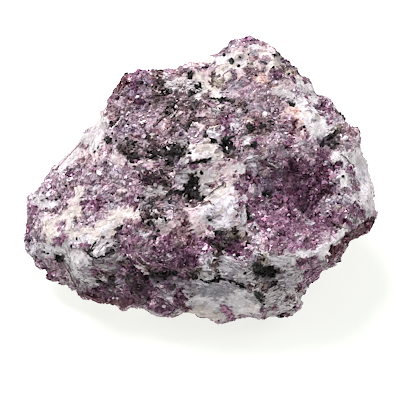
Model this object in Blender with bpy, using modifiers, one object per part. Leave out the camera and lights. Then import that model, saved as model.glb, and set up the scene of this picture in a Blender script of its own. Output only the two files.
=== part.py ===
"""Rough lepidolite, as one broken lump: purple mica grown through white albite and quartz.

The lump is made the way such a stone breaks. A few blocks with flat broken sides are merged into one body and
their edges are worn a little. Then the dents, steps, swellings and crystal grains are raised on its surface.
It rests on one flat break. Lengths are in millimetres until the last step, +Z is up, and the front is -Y.
"""

import math
import random

import bmesh
import bpy
import numpy as np
from mathutils import Vector, noise

MM = 0.001

# Driving dimensions of the whole stone
WIDTH = 80.5
DEPTH = 58.5
HEIGHT = 43.5

# Places on the stone are (right, up, out) from its middle, seen by an eye in front that looks down at this angle
LOOK_DOWN = math.radians(45.0)
MIDDLE = Vector((-0.4, -0.4, 23.0))
RIGHT = Vector((1.0, 0.0, 0.0))
UP = Vector((0.0, math.sin(LOOK_DOWN), math.cos(LOOK_DOWN)))
OUT = Vector((0.0, -math.cos(LOOK_DOWN), math.sin(LOOK_DOWN)))

# Spacing of the net of faces while the blocks merge, and on the finished surface
MERGE_STEP = 1.0
SURFACE_STEP = 1.84
# How far the edges of the blocks are worn: rounds of smoothing, and the share of each round
WEAR_ROUNDS = 3
WEAR_SHARE = 0.5

# The bulk of the stone
MAIN_MASS = (
    # the rim that the eye sees against the ground, clockwise from the saddle beside the crest
    (2.0, 26.0, -2.0),
    (12.0, 27.0, -6.0),
    (24.0, 22.5, -5.0),
    (30.8, 19.4, -5.0),
    (34.4, 15.4, -5.0),
    (37.0, 11.8, -4.0),
    (40.8, 2.0, -2.0),
    (40.6, -8.8, 2.0),
    (32.0, -19.5, 3.0),
    (23.4, -26.4, 2.0),
    (21.5, -31.0, 4.0),
    (-16.0, -29.0, 3.0),
    (-27.4, -26.4, 0.0),
    (-36.0, -23.0, -1.0),
    (-42.6, -17.4, -3.0),
    (-43.8, -11.6, -2.0),
    (-41.8, -3.6, -2.0),
    (-28.4, 6.4, -1.0),
    (-22.6, 14.0, -1.0),
    (-17.0, 22.5, -2.0),
    # the side that faces the eye
    (-3.0, 6.5, 14.5),
    (14.0, 7.0, 14.5),
    (26.0, 6.0, 10.5),
    (34.5, -4.0, 9.5),
    (22.0, -18.5, 19.0),
    (33.5, -12.5, 11.5),
    (6.0, -19.0, 19.5),
    (-10.0, -18.0, 17.0),
    (-24.0, -15.5, 15.5),
    (-34.0, -12.0, 9.0),
    (-27.5, 0.0, 8.0),
    (-14.0, -2.0, 14.0),
    (-10.0, -26.0, 9.5),
    (-22.0, -24.0, 9.0),
    (15.0, -27.0, 12.0),
    (28.0, -21.0, 9.0),
    # the back
    (10.0, 22.5, -20.0),
    (26.0, 13.0, -19.0),
    (35.0, 3.0, -13.0),
    (-8.0, 18.5, -17.5),
    (-22.0, 10.0, -15.0),
    (-34.0, -2.5, -11.0),
    (12.0, 9.0, -33.0),
    (-8.0, 6.0, -29.0),
    (28.0, -3.0, -23.0),
    (-26.0, -7.0, -19.0),
    # round the flat break below, a little under the ground
    (13.0, -27.3, -8.3),
    (-12.0, -27.3, -8.3),
    (-21.0, -21.8, -13.8),
    (-17.0, -12.8, -22.8),
    (-4.0, -7.8, -27.8),
    (12.0, -7.8, -27.8),
    (21.0, -13.8, -21.8),
    (21.0, -21.8, -13.8),
)
# The highest corner, at the back right
CREST = (
    (9.7, 35.0, -4.5),
    (7.6, 33.4, -3.5),
    (2.5, 27.0, -1.5),
    (14.2, 34.6, -5.5),
    (18.6, 32.0, -5.5),
    (23.8, 26.2, -5.0),
    (26.2, 21.4, -4.5),
    (10.5, 32.0, -9.5),
    (17.5, 30.0, -9.5),
    (6.0, 22.0, 3.5),
    (18.0, 20.0, 4.0),
    (24.0, 15.0, 3.0),
    (8.0, 22.0, -18.0),
    (20.0, 20.0, -17.0),
    (10.0, 10.0, -5.0),
    (22.0, 8.0, -5.0),
)
# A slab of mica on the left of the top, which stands over the slope below it
SLAB = (
    (-21.8, 18.0, 1.0),
    (-20.0, 20.0, -0.5),
    (-16.6, 24.8, -1.5),
    (-12.8, 26.4, -1.0),
    (-7.5, 26.8, -0.5),
    (-3.0, 26.6, -0.5),
    (-24.2, 9.6, 6.0),
    (-21.0, 4.8, 10.5),
    (-15.0, 1.8, 14.5),
    (-7.0, 1.0, 17.5),
    (-1.0, 4.0, 17.5),
    (4.0, 12.0, 12.5),
    (0.0, 22.0, 4.5),
    (-19.0, 18.0, -10.0),
    (-4.0, 20.0, -10.0),
    (-19.0, 6.0, 0.0),
    (0.0, 6.0, 0.0),
)
# The swelling below the middle, with a ledge under it
NOSE = (
    (-13.5, -6.0, 18.5),
    (0.0, -6.0, 20.0),
    (-17.5, -13.5, 18.0),
    (3.5, -13.0, 21.5),
    (-14.0, -18.5, 19.5),
    (-5.0, -21.4, 21.0),
    (2.5, -19.5, 21.5),
    (-12.0, -8.0, 6.0),
    (0.0, -8.0, 6.0),
    (-12.0, -18.0, 6.0),
    (0.0, -19.0, 6.0),
)
# The white quartz at the front foot
QUARTZ_FOOT = (
    (-1.5, -23.0, 17.0),
    (13.0, -22.5, 18.0),
    (17.0, -26.0, 14.0),
    (14.2, -32.2, 8.0),
    (5.0, -32.4, 5.5),
    (-2.5, -31.5, 6.0),
    (0.0, -24.0, 0.0),
    (14.0, -24.0, 0.0),
    (3.0, -29.0, -3.0),
    (12.0, -29.0, -3.0),
)
# The purple foot left of it, under the nose
MICA_FOOT = (
    (-14.0, -24.0, 13.0),
    (-4.0, -24.5, 14.0),
    (-11.4, -30.4, 6.0),
    (-6.4, -31.8, 6.0),
    (-3.5, -31.0, 8.0),
    (-13.0, -24.0, 0.0),
    (-4.0, -24.0, 0.0),
    (-8.0, -29.0, -2.0),
)
BLOCKS = (MAIN_MASS, CREST, SLAB, NOSE, QUARTZ_FOOT, MICA_FOOT)

# Dents (less than 0) and swellings of the front: (right, up), half sizes, turn in degrees, height, share that slopes
FRONT_RELIEF = (
    ((20.0, -3.5), (13.5, 11.5), -15, -4.2, 0.75),  # the purple pocket
    ((22.5, 0.5), (7.0, 5.0), -20, -1.4, 0.8),  # its deepest part
    ((15.0, -21.0), (5.0, 2.2), 15, -1.5, 0.8),  # below the pocket's rim
    ((15.5, -20.0), (3.4, 1.8), -8, -0.9, 0.4),  # the black eye
    ((-6.5, 5.8), (5.0, 3.2), 10, -1.3, 0.5),  # black mica on the slab
    ((-0.8, -2.2), (5.5, 3.6), 25, -1.6, 0.5),  # black mica below the slab
    ((6.2, 7.4), (2.6, 3.8), 20, -1.3, 0.5),
    ((18.0, 14.5), (5.0, 1.6), 20, -0.8, 0.6),
    ((29.0, 9.0), (3.4, 3.0), 35, -1.8, 0.5),  # the notch at the right
    ((33.5, 8.6), (4.2, 4.0), 0, 1.3, 0.6),
    ((24.0, 12.0), (6.5, 2.4), -40, 1.0, 0.6),  # white band at the right
    ((-31.4, -18.6), (2.4, 2.2), 0, -1.6, 0.6),  # the pit at the lower left
    ((-24.0, -17.0), (5.0, 3.4), 30, 1.0, 0.5),  # white blades beside it
    ((-14.0, 20.0), (5.5, 4.0), 20, 1.4, 0.7),  # knob on the slab
    ((-9.0, 18.0), (1.8, 5.0), -20, -1.2, 0.7),
    ((-19.0, -3.5), (7.0, 3.5), 30, -0.9, 0.7),
    ((-33.0, -6.0), (4.5, 6.0), 0, 0.8, 0.8),
    ((7.0, -8.5), (3.4, 4.6), 10, 1.0, 0.6),  # white between nose and pocket
    ((9.0, -14.5), (3.2, 2.6), 0, -1.5, 0.7),
    ((6.5, 17.0), (7.0, 2.2), -32, 0.9, 0.5),  # cream ridge of the top
    ((30.0, -15.0), (7.0, 1.8), 38, 0.9, 0.6),  # the pocket's white rim
    ((-8.0, -9.0), (4.0, 3.0), 0, 0.8, 0.8),
    ((-6.0, -22.0), (7.5, 1.6), -14, -1.6, 0.6),  # the ledge under the nose
    ((34.2, -15.2), (3.6, 3.2), 0, -1.9, 0.8),  # bites in the edge, at the right, the upper right and the left
    ((26.6, -23.4), (5.4, 3.4), 50, -2.4, 0.8),
    ((36.8, 6.0), (3.2, 4.2), 0, -2.2, 0.8),
    ((-28.5, 7.5), (4.6, 2.8), 45, -1.8, 0.8),
)
# Front relief fades out where the surface turns away from the eye, between these cosines of the angle
FRONT_FADES = -0.25
FRONT_ENDS = -0.7

# Dents and swellings of the sides that the eye doesn't see: how many, their sizes, and their least and greatest height
HIDDEN_RELIEF = 26
HIDDEN_SIZE = (5.0, 12.0)
HIDDEN_HEIGHT = (-2.2, 1.4)
HIDDEN_SLOPE = 0.8
HIDDEN_STARTS = 0.1
HIDDEN_SEED = 7

# Rolling unevenness: (size, height) of each scale of it
ROLL = ((17.0, 1.1), (8.0, 0.75), (4.2, 0.5))

# Crystal grains of the finished surface: the size of a grain, and how far grains differ in height and lean
GRAIN_SIZE = 4.6
GRAIN_RISE = 0.55
GRAIN_LEAN = 0.17
# A grain's height and its lean are drawn at its seed point, scaled so that neighbours don't draw alike
RISE_DRAW = 11.7
LEAN_DRAW = 7.3

# The finish of the bare solid: the mean colour of the stone, dull
STONE_COLOUR = (0.29, 0.21, 0.25, 1.0)
STONE_ROUGHNESS = 0.7


def place(right, up, out):
    """The point (right, up, out) from the stone's middle, as (x, y, z) from the middle of the ground below it."""
    return MIDDLE + RIGHT * right + UP * up + OUT * out


def hull(corners):
    """A closed block with flat sides through these corners, as a mesh."""
    block = bmesh.new()
    for corner in corners:
        block.verts.new(place(*corner))
    made = bmesh.ops.convex_hull(block, input=block.verts)
    inside = [v for v in made["geom_interior"] if isinstance(v, bmesh.types.BMVert)]
    bmesh.ops.delete(block, geom=inside, context="VERTS")
    bmesh.ops.recalc_face_normals(block, faces=block.faces)
    mesh = bpy.data.meshes.new("block")
    block.to_mesh(mesh)
    block.free()
    return mesh


def gathered(blocks):
    """One mesh with the faces of all the blocks, which overlap."""
    together = bmesh.new()
    for corners in blocks:
        together.from_mesh(hull(corners))
    mesh = bpy.data.meshes.new("blocks")
    together.to_mesh(mesh)
    together.free()
    return mesh


def remeshed(mesh, step, wear_rounds=0):
    """The mesh as one body with an even net of faces of this size, its edges worn by so many rounds."""
    lump = bpy.data.objects.new("lump", mesh)
    bpy.context.scene.collection.objects.link(lump)
    net = lump.modifiers.new("even net", "REMESH")
    net.mode = "VOXEL"
    net.voxel_size = step
    if wear_rounds:
        wear = lump.modifiers.new("worn edges", "SMOOTH")
        wear.factor = WEAR_SHARE
        wear.iterations = wear_rounds
    graph = bpy.context.evaluated_depsgraph_get()
    made = bpy.data.meshes.new_from_object(lump.evaluated_get(graph))
    bpy.data.objects.remove(lump)
    return made


def falloff(distance, slope_share):
    """1 on a place, 0 beyond it (distance 1), with a smooth slope over the outer share."""
    share_left = min(max((1.0 - distance) / slope_share, 0.0), 1.0)
    return share_left * share_left * (3.0 - 2.0 * share_left)


def front_relief(point, normal):
    """How far the front's dents and swellings raise this point."""
    facing = falloff(1.0 - (normal.dot(OUT) - FRONT_ENDS) / (FRONT_FADES - FRONT_ENDS), 1.0)
    from_middle = point - MIDDLE
    right = from_middle.dot(RIGHT)
    up = from_middle.dot(UP)
    raised = 0.0
    for (at_right, at_up), (half_long, half_wide), turn, height, slope_share in FRONT_RELIEF:
        angle = math.radians(turn)
        along = (right - at_right) * math.cos(angle) + (up - at_up) * math.sin(angle)
        across = (up - at_up) * math.cos(angle) - (right - at_right) * math.sin(angle)
        distance = math.hypot(along / half_long, across / half_wide)
        raised += height * falloff(distance, slope_share)
    return raised * facing


def hidden_places():
    """Seeded places on the sides and back: (direction from the middle, size, height)."""
    chance = random.Random(HIDDEN_SEED)
    places = []
    while len(places) < HIDDEN_RELIEF:
        direction = Vector([chance.gauss(0.0, 1.0) for _ in range(3)]).normalized()
        if direction.dot(OUT) < HIDDEN_STARTS:
            places.append((direction, chance.uniform(*HIDDEN_SIZE), chance.uniform(*HIDDEN_HEIGHT)))
    return places


def hidden_relief(point, places):
    """How far the seeded dents and swellings raise this point."""
    from_middle = point - MIDDLE
    raised = 0.0
    for direction, size, height in places:
        ahead = from_middle.dot(direction)
        if ahead > 0.0:
            beside = (from_middle - direction * ahead).length
            raised += height * falloff(beside / size, HIDDEN_SLOPE)
    return raised


def rolling(point):
    """Uneven ground at several scales."""
    return sum(height * noise.noise(point / size) for size, height in ROLL)


def grain(point):
    """How far the crystal grain at this point raises it. A grain is the space round a seed point."""
    seed = noise.voronoi(point / GRAIN_SIZE)[1][0]
    lean = noise.cell_vector(seed * LEAN_DRAW) - Vector((0.5, 0.5, 0.5))
    rise = noise.cell(seed * RISE_DRAW) - 0.5
    return GRAIN_RISE * rise + GRAIN_LEAN * lean.dot(point - seed * GRAIN_SIZE)


def raise_surface(mesh, height_at):
    """Moves each point of the mesh along its normal by height_at(point, normal)."""
    moved = [v.co + v.normal * height_at(v.co, v.normal) for v in mesh.vertices]
    for vertex, point in zip(mesh.vertices, moved):
        vertex.co = point
    mesh.update()


def sized(mesh):
    """Cuts the ground flat and brings the stone to its driving dimensions, over the origin and in metres."""
    points = np.empty(len(mesh.vertices) * 3, np.float32)
    mesh.vertices.foreach_get("co", points)
    points = points.reshape(-1, 3)
    points[:, 2] = np.maximum(points[:, 2], 0.0)
    low = points.min(0)
    high = points.max(0)
    under_middle = np.array(((low[0] + high[0]) / 2, (low[1] + high[1]) / 2, low[2]))
    points = (points - under_middle) * np.array((WIDTH, DEPTH, HEIGHT)) / (high - low)
    mesh.vertices.foreach_set("co", (points * MM).astype(np.float32).ravel())
    mesh.update()


def stone_material():
    """Dull grey-purple, the mean of the mica, the white minerals and the black spots."""
    material = bpy.data.materials.new("lepidolite")
    material.use_nodes = True
    shader = material.node_tree.nodes["Principled BSDF"]
    shader.inputs["Base Color"].default_value = STONE_COLOUR
    shader.inputs["Roughness"].default_value = STONE_ROUGHNESS
    shader.inputs["Metallic"].default_value = 0.0
    return material


def main():
    for left_over in list(bpy.data.objects):
        bpy.data.objects.remove(left_over)
    places = hidden_places()
    mesh = remeshed(gathered(BLOCKS), MERGE_STEP, WEAR_ROUNDS)
    raise_surface(mesh, front_relief)
    raise_surface(mesh, lambda point, normal: hidden_relief(point, places) + rolling(point))
    mesh = remeshed(mesh, SURFACE_STEP)
    raise_surface(mesh, lambda point, normal: grain(point))
    sized(mesh)
    mesh.name = "lepidolite_stone"
    mesh.materials.append(stone_material())
    stone = bpy.data.objects.new("lepidolite_stone", mesh)
    lepidolite = bpy.data.collections.new("lepidolite")
    bpy.context.scene.collection.children.link(lepidolite)
    lepidolite.objects.link(stone)


main()
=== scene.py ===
"""The looks of a rough lepidolite stone: plum and lilac mica, white albite, grey quartz and black grains.

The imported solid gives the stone's form. A fine surface is made from it, and carries what the eye sees from
close by: crystal grains with flat faces, cleavage streaks, flakes of mica, blades of albite and black
splinters. Every mineral is a mix of a pale, a light and a dark tone. Patches, lines and small grains say
where each one lies on the side that the picture shows. The other sides get seeded patches of the same
minerals.

Lengths in this script are in millimetres. They become metres where a mesh, a light or the camera is made.
"""

import math
from collections import namedtuple

import bpy
import numpy as np
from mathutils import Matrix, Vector
from mathutils.bvhtree import BVHTree


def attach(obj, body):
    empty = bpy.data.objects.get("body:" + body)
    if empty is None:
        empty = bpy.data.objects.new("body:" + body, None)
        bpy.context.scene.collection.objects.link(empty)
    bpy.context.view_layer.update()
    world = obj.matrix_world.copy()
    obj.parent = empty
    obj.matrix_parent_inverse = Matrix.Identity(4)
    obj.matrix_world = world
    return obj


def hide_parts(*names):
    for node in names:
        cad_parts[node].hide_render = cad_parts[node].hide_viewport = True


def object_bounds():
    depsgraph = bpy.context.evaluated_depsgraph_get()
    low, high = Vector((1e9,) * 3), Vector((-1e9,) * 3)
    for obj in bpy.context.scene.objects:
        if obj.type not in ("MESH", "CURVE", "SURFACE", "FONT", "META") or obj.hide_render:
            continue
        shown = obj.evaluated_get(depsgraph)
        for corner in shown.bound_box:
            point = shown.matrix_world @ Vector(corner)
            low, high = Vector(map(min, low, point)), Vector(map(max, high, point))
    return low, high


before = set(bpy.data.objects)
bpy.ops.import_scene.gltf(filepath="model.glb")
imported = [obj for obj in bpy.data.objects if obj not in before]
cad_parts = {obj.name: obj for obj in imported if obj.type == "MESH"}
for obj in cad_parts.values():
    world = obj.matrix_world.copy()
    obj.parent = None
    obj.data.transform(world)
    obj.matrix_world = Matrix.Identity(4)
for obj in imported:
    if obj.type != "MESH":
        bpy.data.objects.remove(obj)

MM = 0.001
CAD_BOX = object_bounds()
BOX_LOW = np.array(CAD_BOX[0]) / MM
BOX_HIGH = np.array(CAD_BOX[1]) / MM

# The picture: 400 steps wide and high, of this many millimetres each at the stone's middle
PICTURE_SIDE = 400
PICTURE_STEP = 0.2247
# The eye looks down at this angle from this far away, and the stone's middle is seen at this place in the
# picture
LOOK_DOWN = math.radians(45.0)
EYE_DISTANCE = 420.0
MIDDLE = np.array((0.27, -0.4, 23.0))
MIDDLE_SEEN = (200.0, 179.0)
RIGHT = np.array((1.0, 0.0, 0.0))
UP = np.array((0.0, math.sin(LOOK_DOWN), math.cos(LOOK_DOWN)))
OUT = np.array((0.0, -math.cos(LOOK_DOWN), math.sin(LOOK_DOWN)))

# Spacing of the fine surface's net, and the smoothing that takes the solid's facets off it: its strength
# and rounds
FINE_STEP = 0.416
SMOOTH_FACTOR = 0.5
SMOOTH_ROUNDS = 5

# How a family of minerals breaks: how rough its grains stand (1 is a full grain), how glossy it is, how far
# it is drawn out into streaks, how much its grains differ in tone, how much painted shade and dirt its
# hollows take, and how densely its flakes, blades and splinters cover it
Habit = namedtuple("Habit", "grain gloss streaky variety dirt flakes blades splinters", defaults=(0.0, 0.0))
MICA = Habit(grain=1.0, gloss=0.8, streaky=0.12, variety=1.0, dirt=0.4, flakes=1.0)
ALBITE = Habit(grain=0.17, gloss=0.2, streaky=0.3, variety=0.12, dirt=0.25, flakes=0.01, blades=0.08)
MILK = Habit(grain=0.1, gloss=0.3, streaky=0.4, variety=0.06, dirt=0.2, flakes=0.0, blades=0.04)
FIBRE = Habit(grain=0.42, gloss=0.3, streaky=0.7, variety=0.2, dirt=0.6, flakes=0.04, blades=0.7)
QUARTZ = Habit(grain=0.08, gloss=0.5, streaky=0.2, variety=0.05, dirt=0.1, flakes=0.0)
EARTH = Habit(grain=0.8, gloss=0.3, streaky=0.0, variety=0.7, dirt=0.6, flakes=0.6, blades=0.1,
              splinters=0.1)
SALT = Habit(grain=0.8, gloss=0.5, streaky=0.1, variety=0.5, dirt=0.5, flakes=0.6, blades=0.3, splinters=0.4)
SCHORL = Habit(grain=1.0, gloss=0.6, streaky=0.0, variety=0.5, dirt=0.5, flakes=0.03, splinters=1.0)

# A mineral: its habit, its pale, light and dark tone (sRGB), and the shares of it that are pale and dark
Mineral = namedtuple("Mineral", "habit pale light dark pale_share dark_share")
MINERALS = {
    "mauve": Mineral(MICA, (222, 203, 214), (193, 166, 181), (129, 97, 115), 0.20, 0.28),
    "taupe": Mineral(MICA, (200, 177, 185), (160, 134, 143), (103, 78, 87), 0.15, 0.34),
    "lilac": Mineral(MICA, (234, 219, 230), (218, 196, 211), (166, 136, 154), 0.26, 0.24),
    "violet": Mineral(MICA, (204, 186, 205), (165, 140, 163), (100, 76, 101), 0.17, 0.36),
    "plum": Mineral(MICA, (208, 179, 198), (166, 119, 148), (103, 59, 90), 0.15, 0.38),
    "deep": Mineral(MICA, (168, 130, 158), (122, 76, 108), (64, 30, 53), 0.11, 0.42),
    # This darkest plum mica is a darker copy of deep, laid in pits, creases and under ledges: partly the
    # mica's own tone, partly painted shade
    "shaded_deep": Mineral(MICA, (124, 88, 112), (84, 50, 72), (42, 18, 32), 0.08, 0.44),
    "wine": Mineral(MICA, (174, 124, 154), (123, 70, 102), (66, 26, 47), 0.09, 0.42),
    "magenta": Mineral(MICA, (220, 192, 212), (188, 140, 170), (128, 78, 112), 0.17, 0.30),
    "pink": Mineral(MICA, (230, 209, 222), (209, 174, 195), (162, 119, 145), 0.24, 0.24),
    "rose": Mineral(MICA, (218, 195, 202), (190, 157, 167), (137, 96, 111), 0.17, 0.32),
    "rust": Mineral(MICA, (176, 134, 146), (132, 84, 98), (82, 43, 55), 0.10, 0.42),
    # Painted light: this brightest white albite is brighter than the others for faces that the lamps leave
    # in shade
    "painted_light_white": Mineral(MILK, (240, 234, 238), (233, 225, 229), (190, 180, 185), 0.40, 0.08),
    "milk": Mineral(MILK, (228, 223, 230), (219, 213, 221), (180, 172, 182), 0.36, 0.10),
    "shell": Mineral(MILK, (220, 210, 208), (212, 200, 197), (178, 163, 161), 0.40, 0.10),
    "veil": Mineral(MILK, (208, 200, 203), (199, 190, 193), (166, 156, 160), 0.40, 0.10),
    "white": Mineral(ALBITE, (223, 217, 220), (215, 207, 211), (170, 158, 164), 0.40, 0.09),
    "chalk": Mineral(ALBITE, (215, 210, 214), (202, 195, 200), (150, 140, 147), 0.36, 0.14),
    "cream": Mineral(ALBITE, (217, 207, 204), (210, 198, 195), (178, 163, 161), 0.40, 0.10),
    "blush": Mineral(ALBITE, (220, 204, 208), (205, 184, 189), (150, 118, 127), 0.36, 0.16),
    "peach": Mineral(ALBITE, (226, 206, 202), (208, 180, 174), (170, 128, 126), 0.30, 0.26),
    "ice": Mineral(FIBRE, (222, 217, 224), (206, 199, 208), (132, 122, 132), 0.36, 0.15),
    "grey": Mineral(FIBRE, (206, 200, 204), (184, 176, 180), (108, 96, 102), 0.30, 0.20),
    "slate": Mineral(FIBRE, (184, 176, 186), (154, 143, 155), (106, 95, 108), 0.28, 0.28),
    "ash": Mineral(FIBRE, (172, 162, 168), (132, 120, 127), (82, 70, 78), 0.24, 0.34),
    "quartz": Mineral(QUARTZ, (205, 200, 205), (195, 189, 195), (176, 170, 177), 0.30, 0.20),
    "smoke": Mineral(QUARTZ, (160, 156, 163), (140, 136, 143), (114, 109, 118), 0.30, 0.25),
    "flint": Mineral(QUARTZ, (208, 197, 195), (196, 184, 181), (176, 163, 161), 0.30, 0.20),
    "tan": Mineral(EARTH, (226, 212, 202), (208, 188, 176), (154, 130, 120), 0.28, 0.28),
    "olive": Mineral(EARTH, (210, 199, 190), (178, 164, 154), (118, 102, 95), 0.25, 0.32),
    "umber": Mineral(SALT, (172, 150, 154), (112, 87, 91), (56, 38, 42), 0.18, 0.42),
    "speckle": Mineral(SALT, (230, 220, 223), (180, 166, 169), (60, 50, 54), 0.32, 0.30),
    "pepper": Mineral(SALT, (178, 164, 168), (120, 105, 110), (54, 43, 48), 0.22, 0.38),
    "black": Mineral(SCHORL, (122, 113, 115), (58, 51, 52), (20, 17, 18), 0.09, 0.50),
}
MINERAL_NAMES = list(MINERALS)

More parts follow.
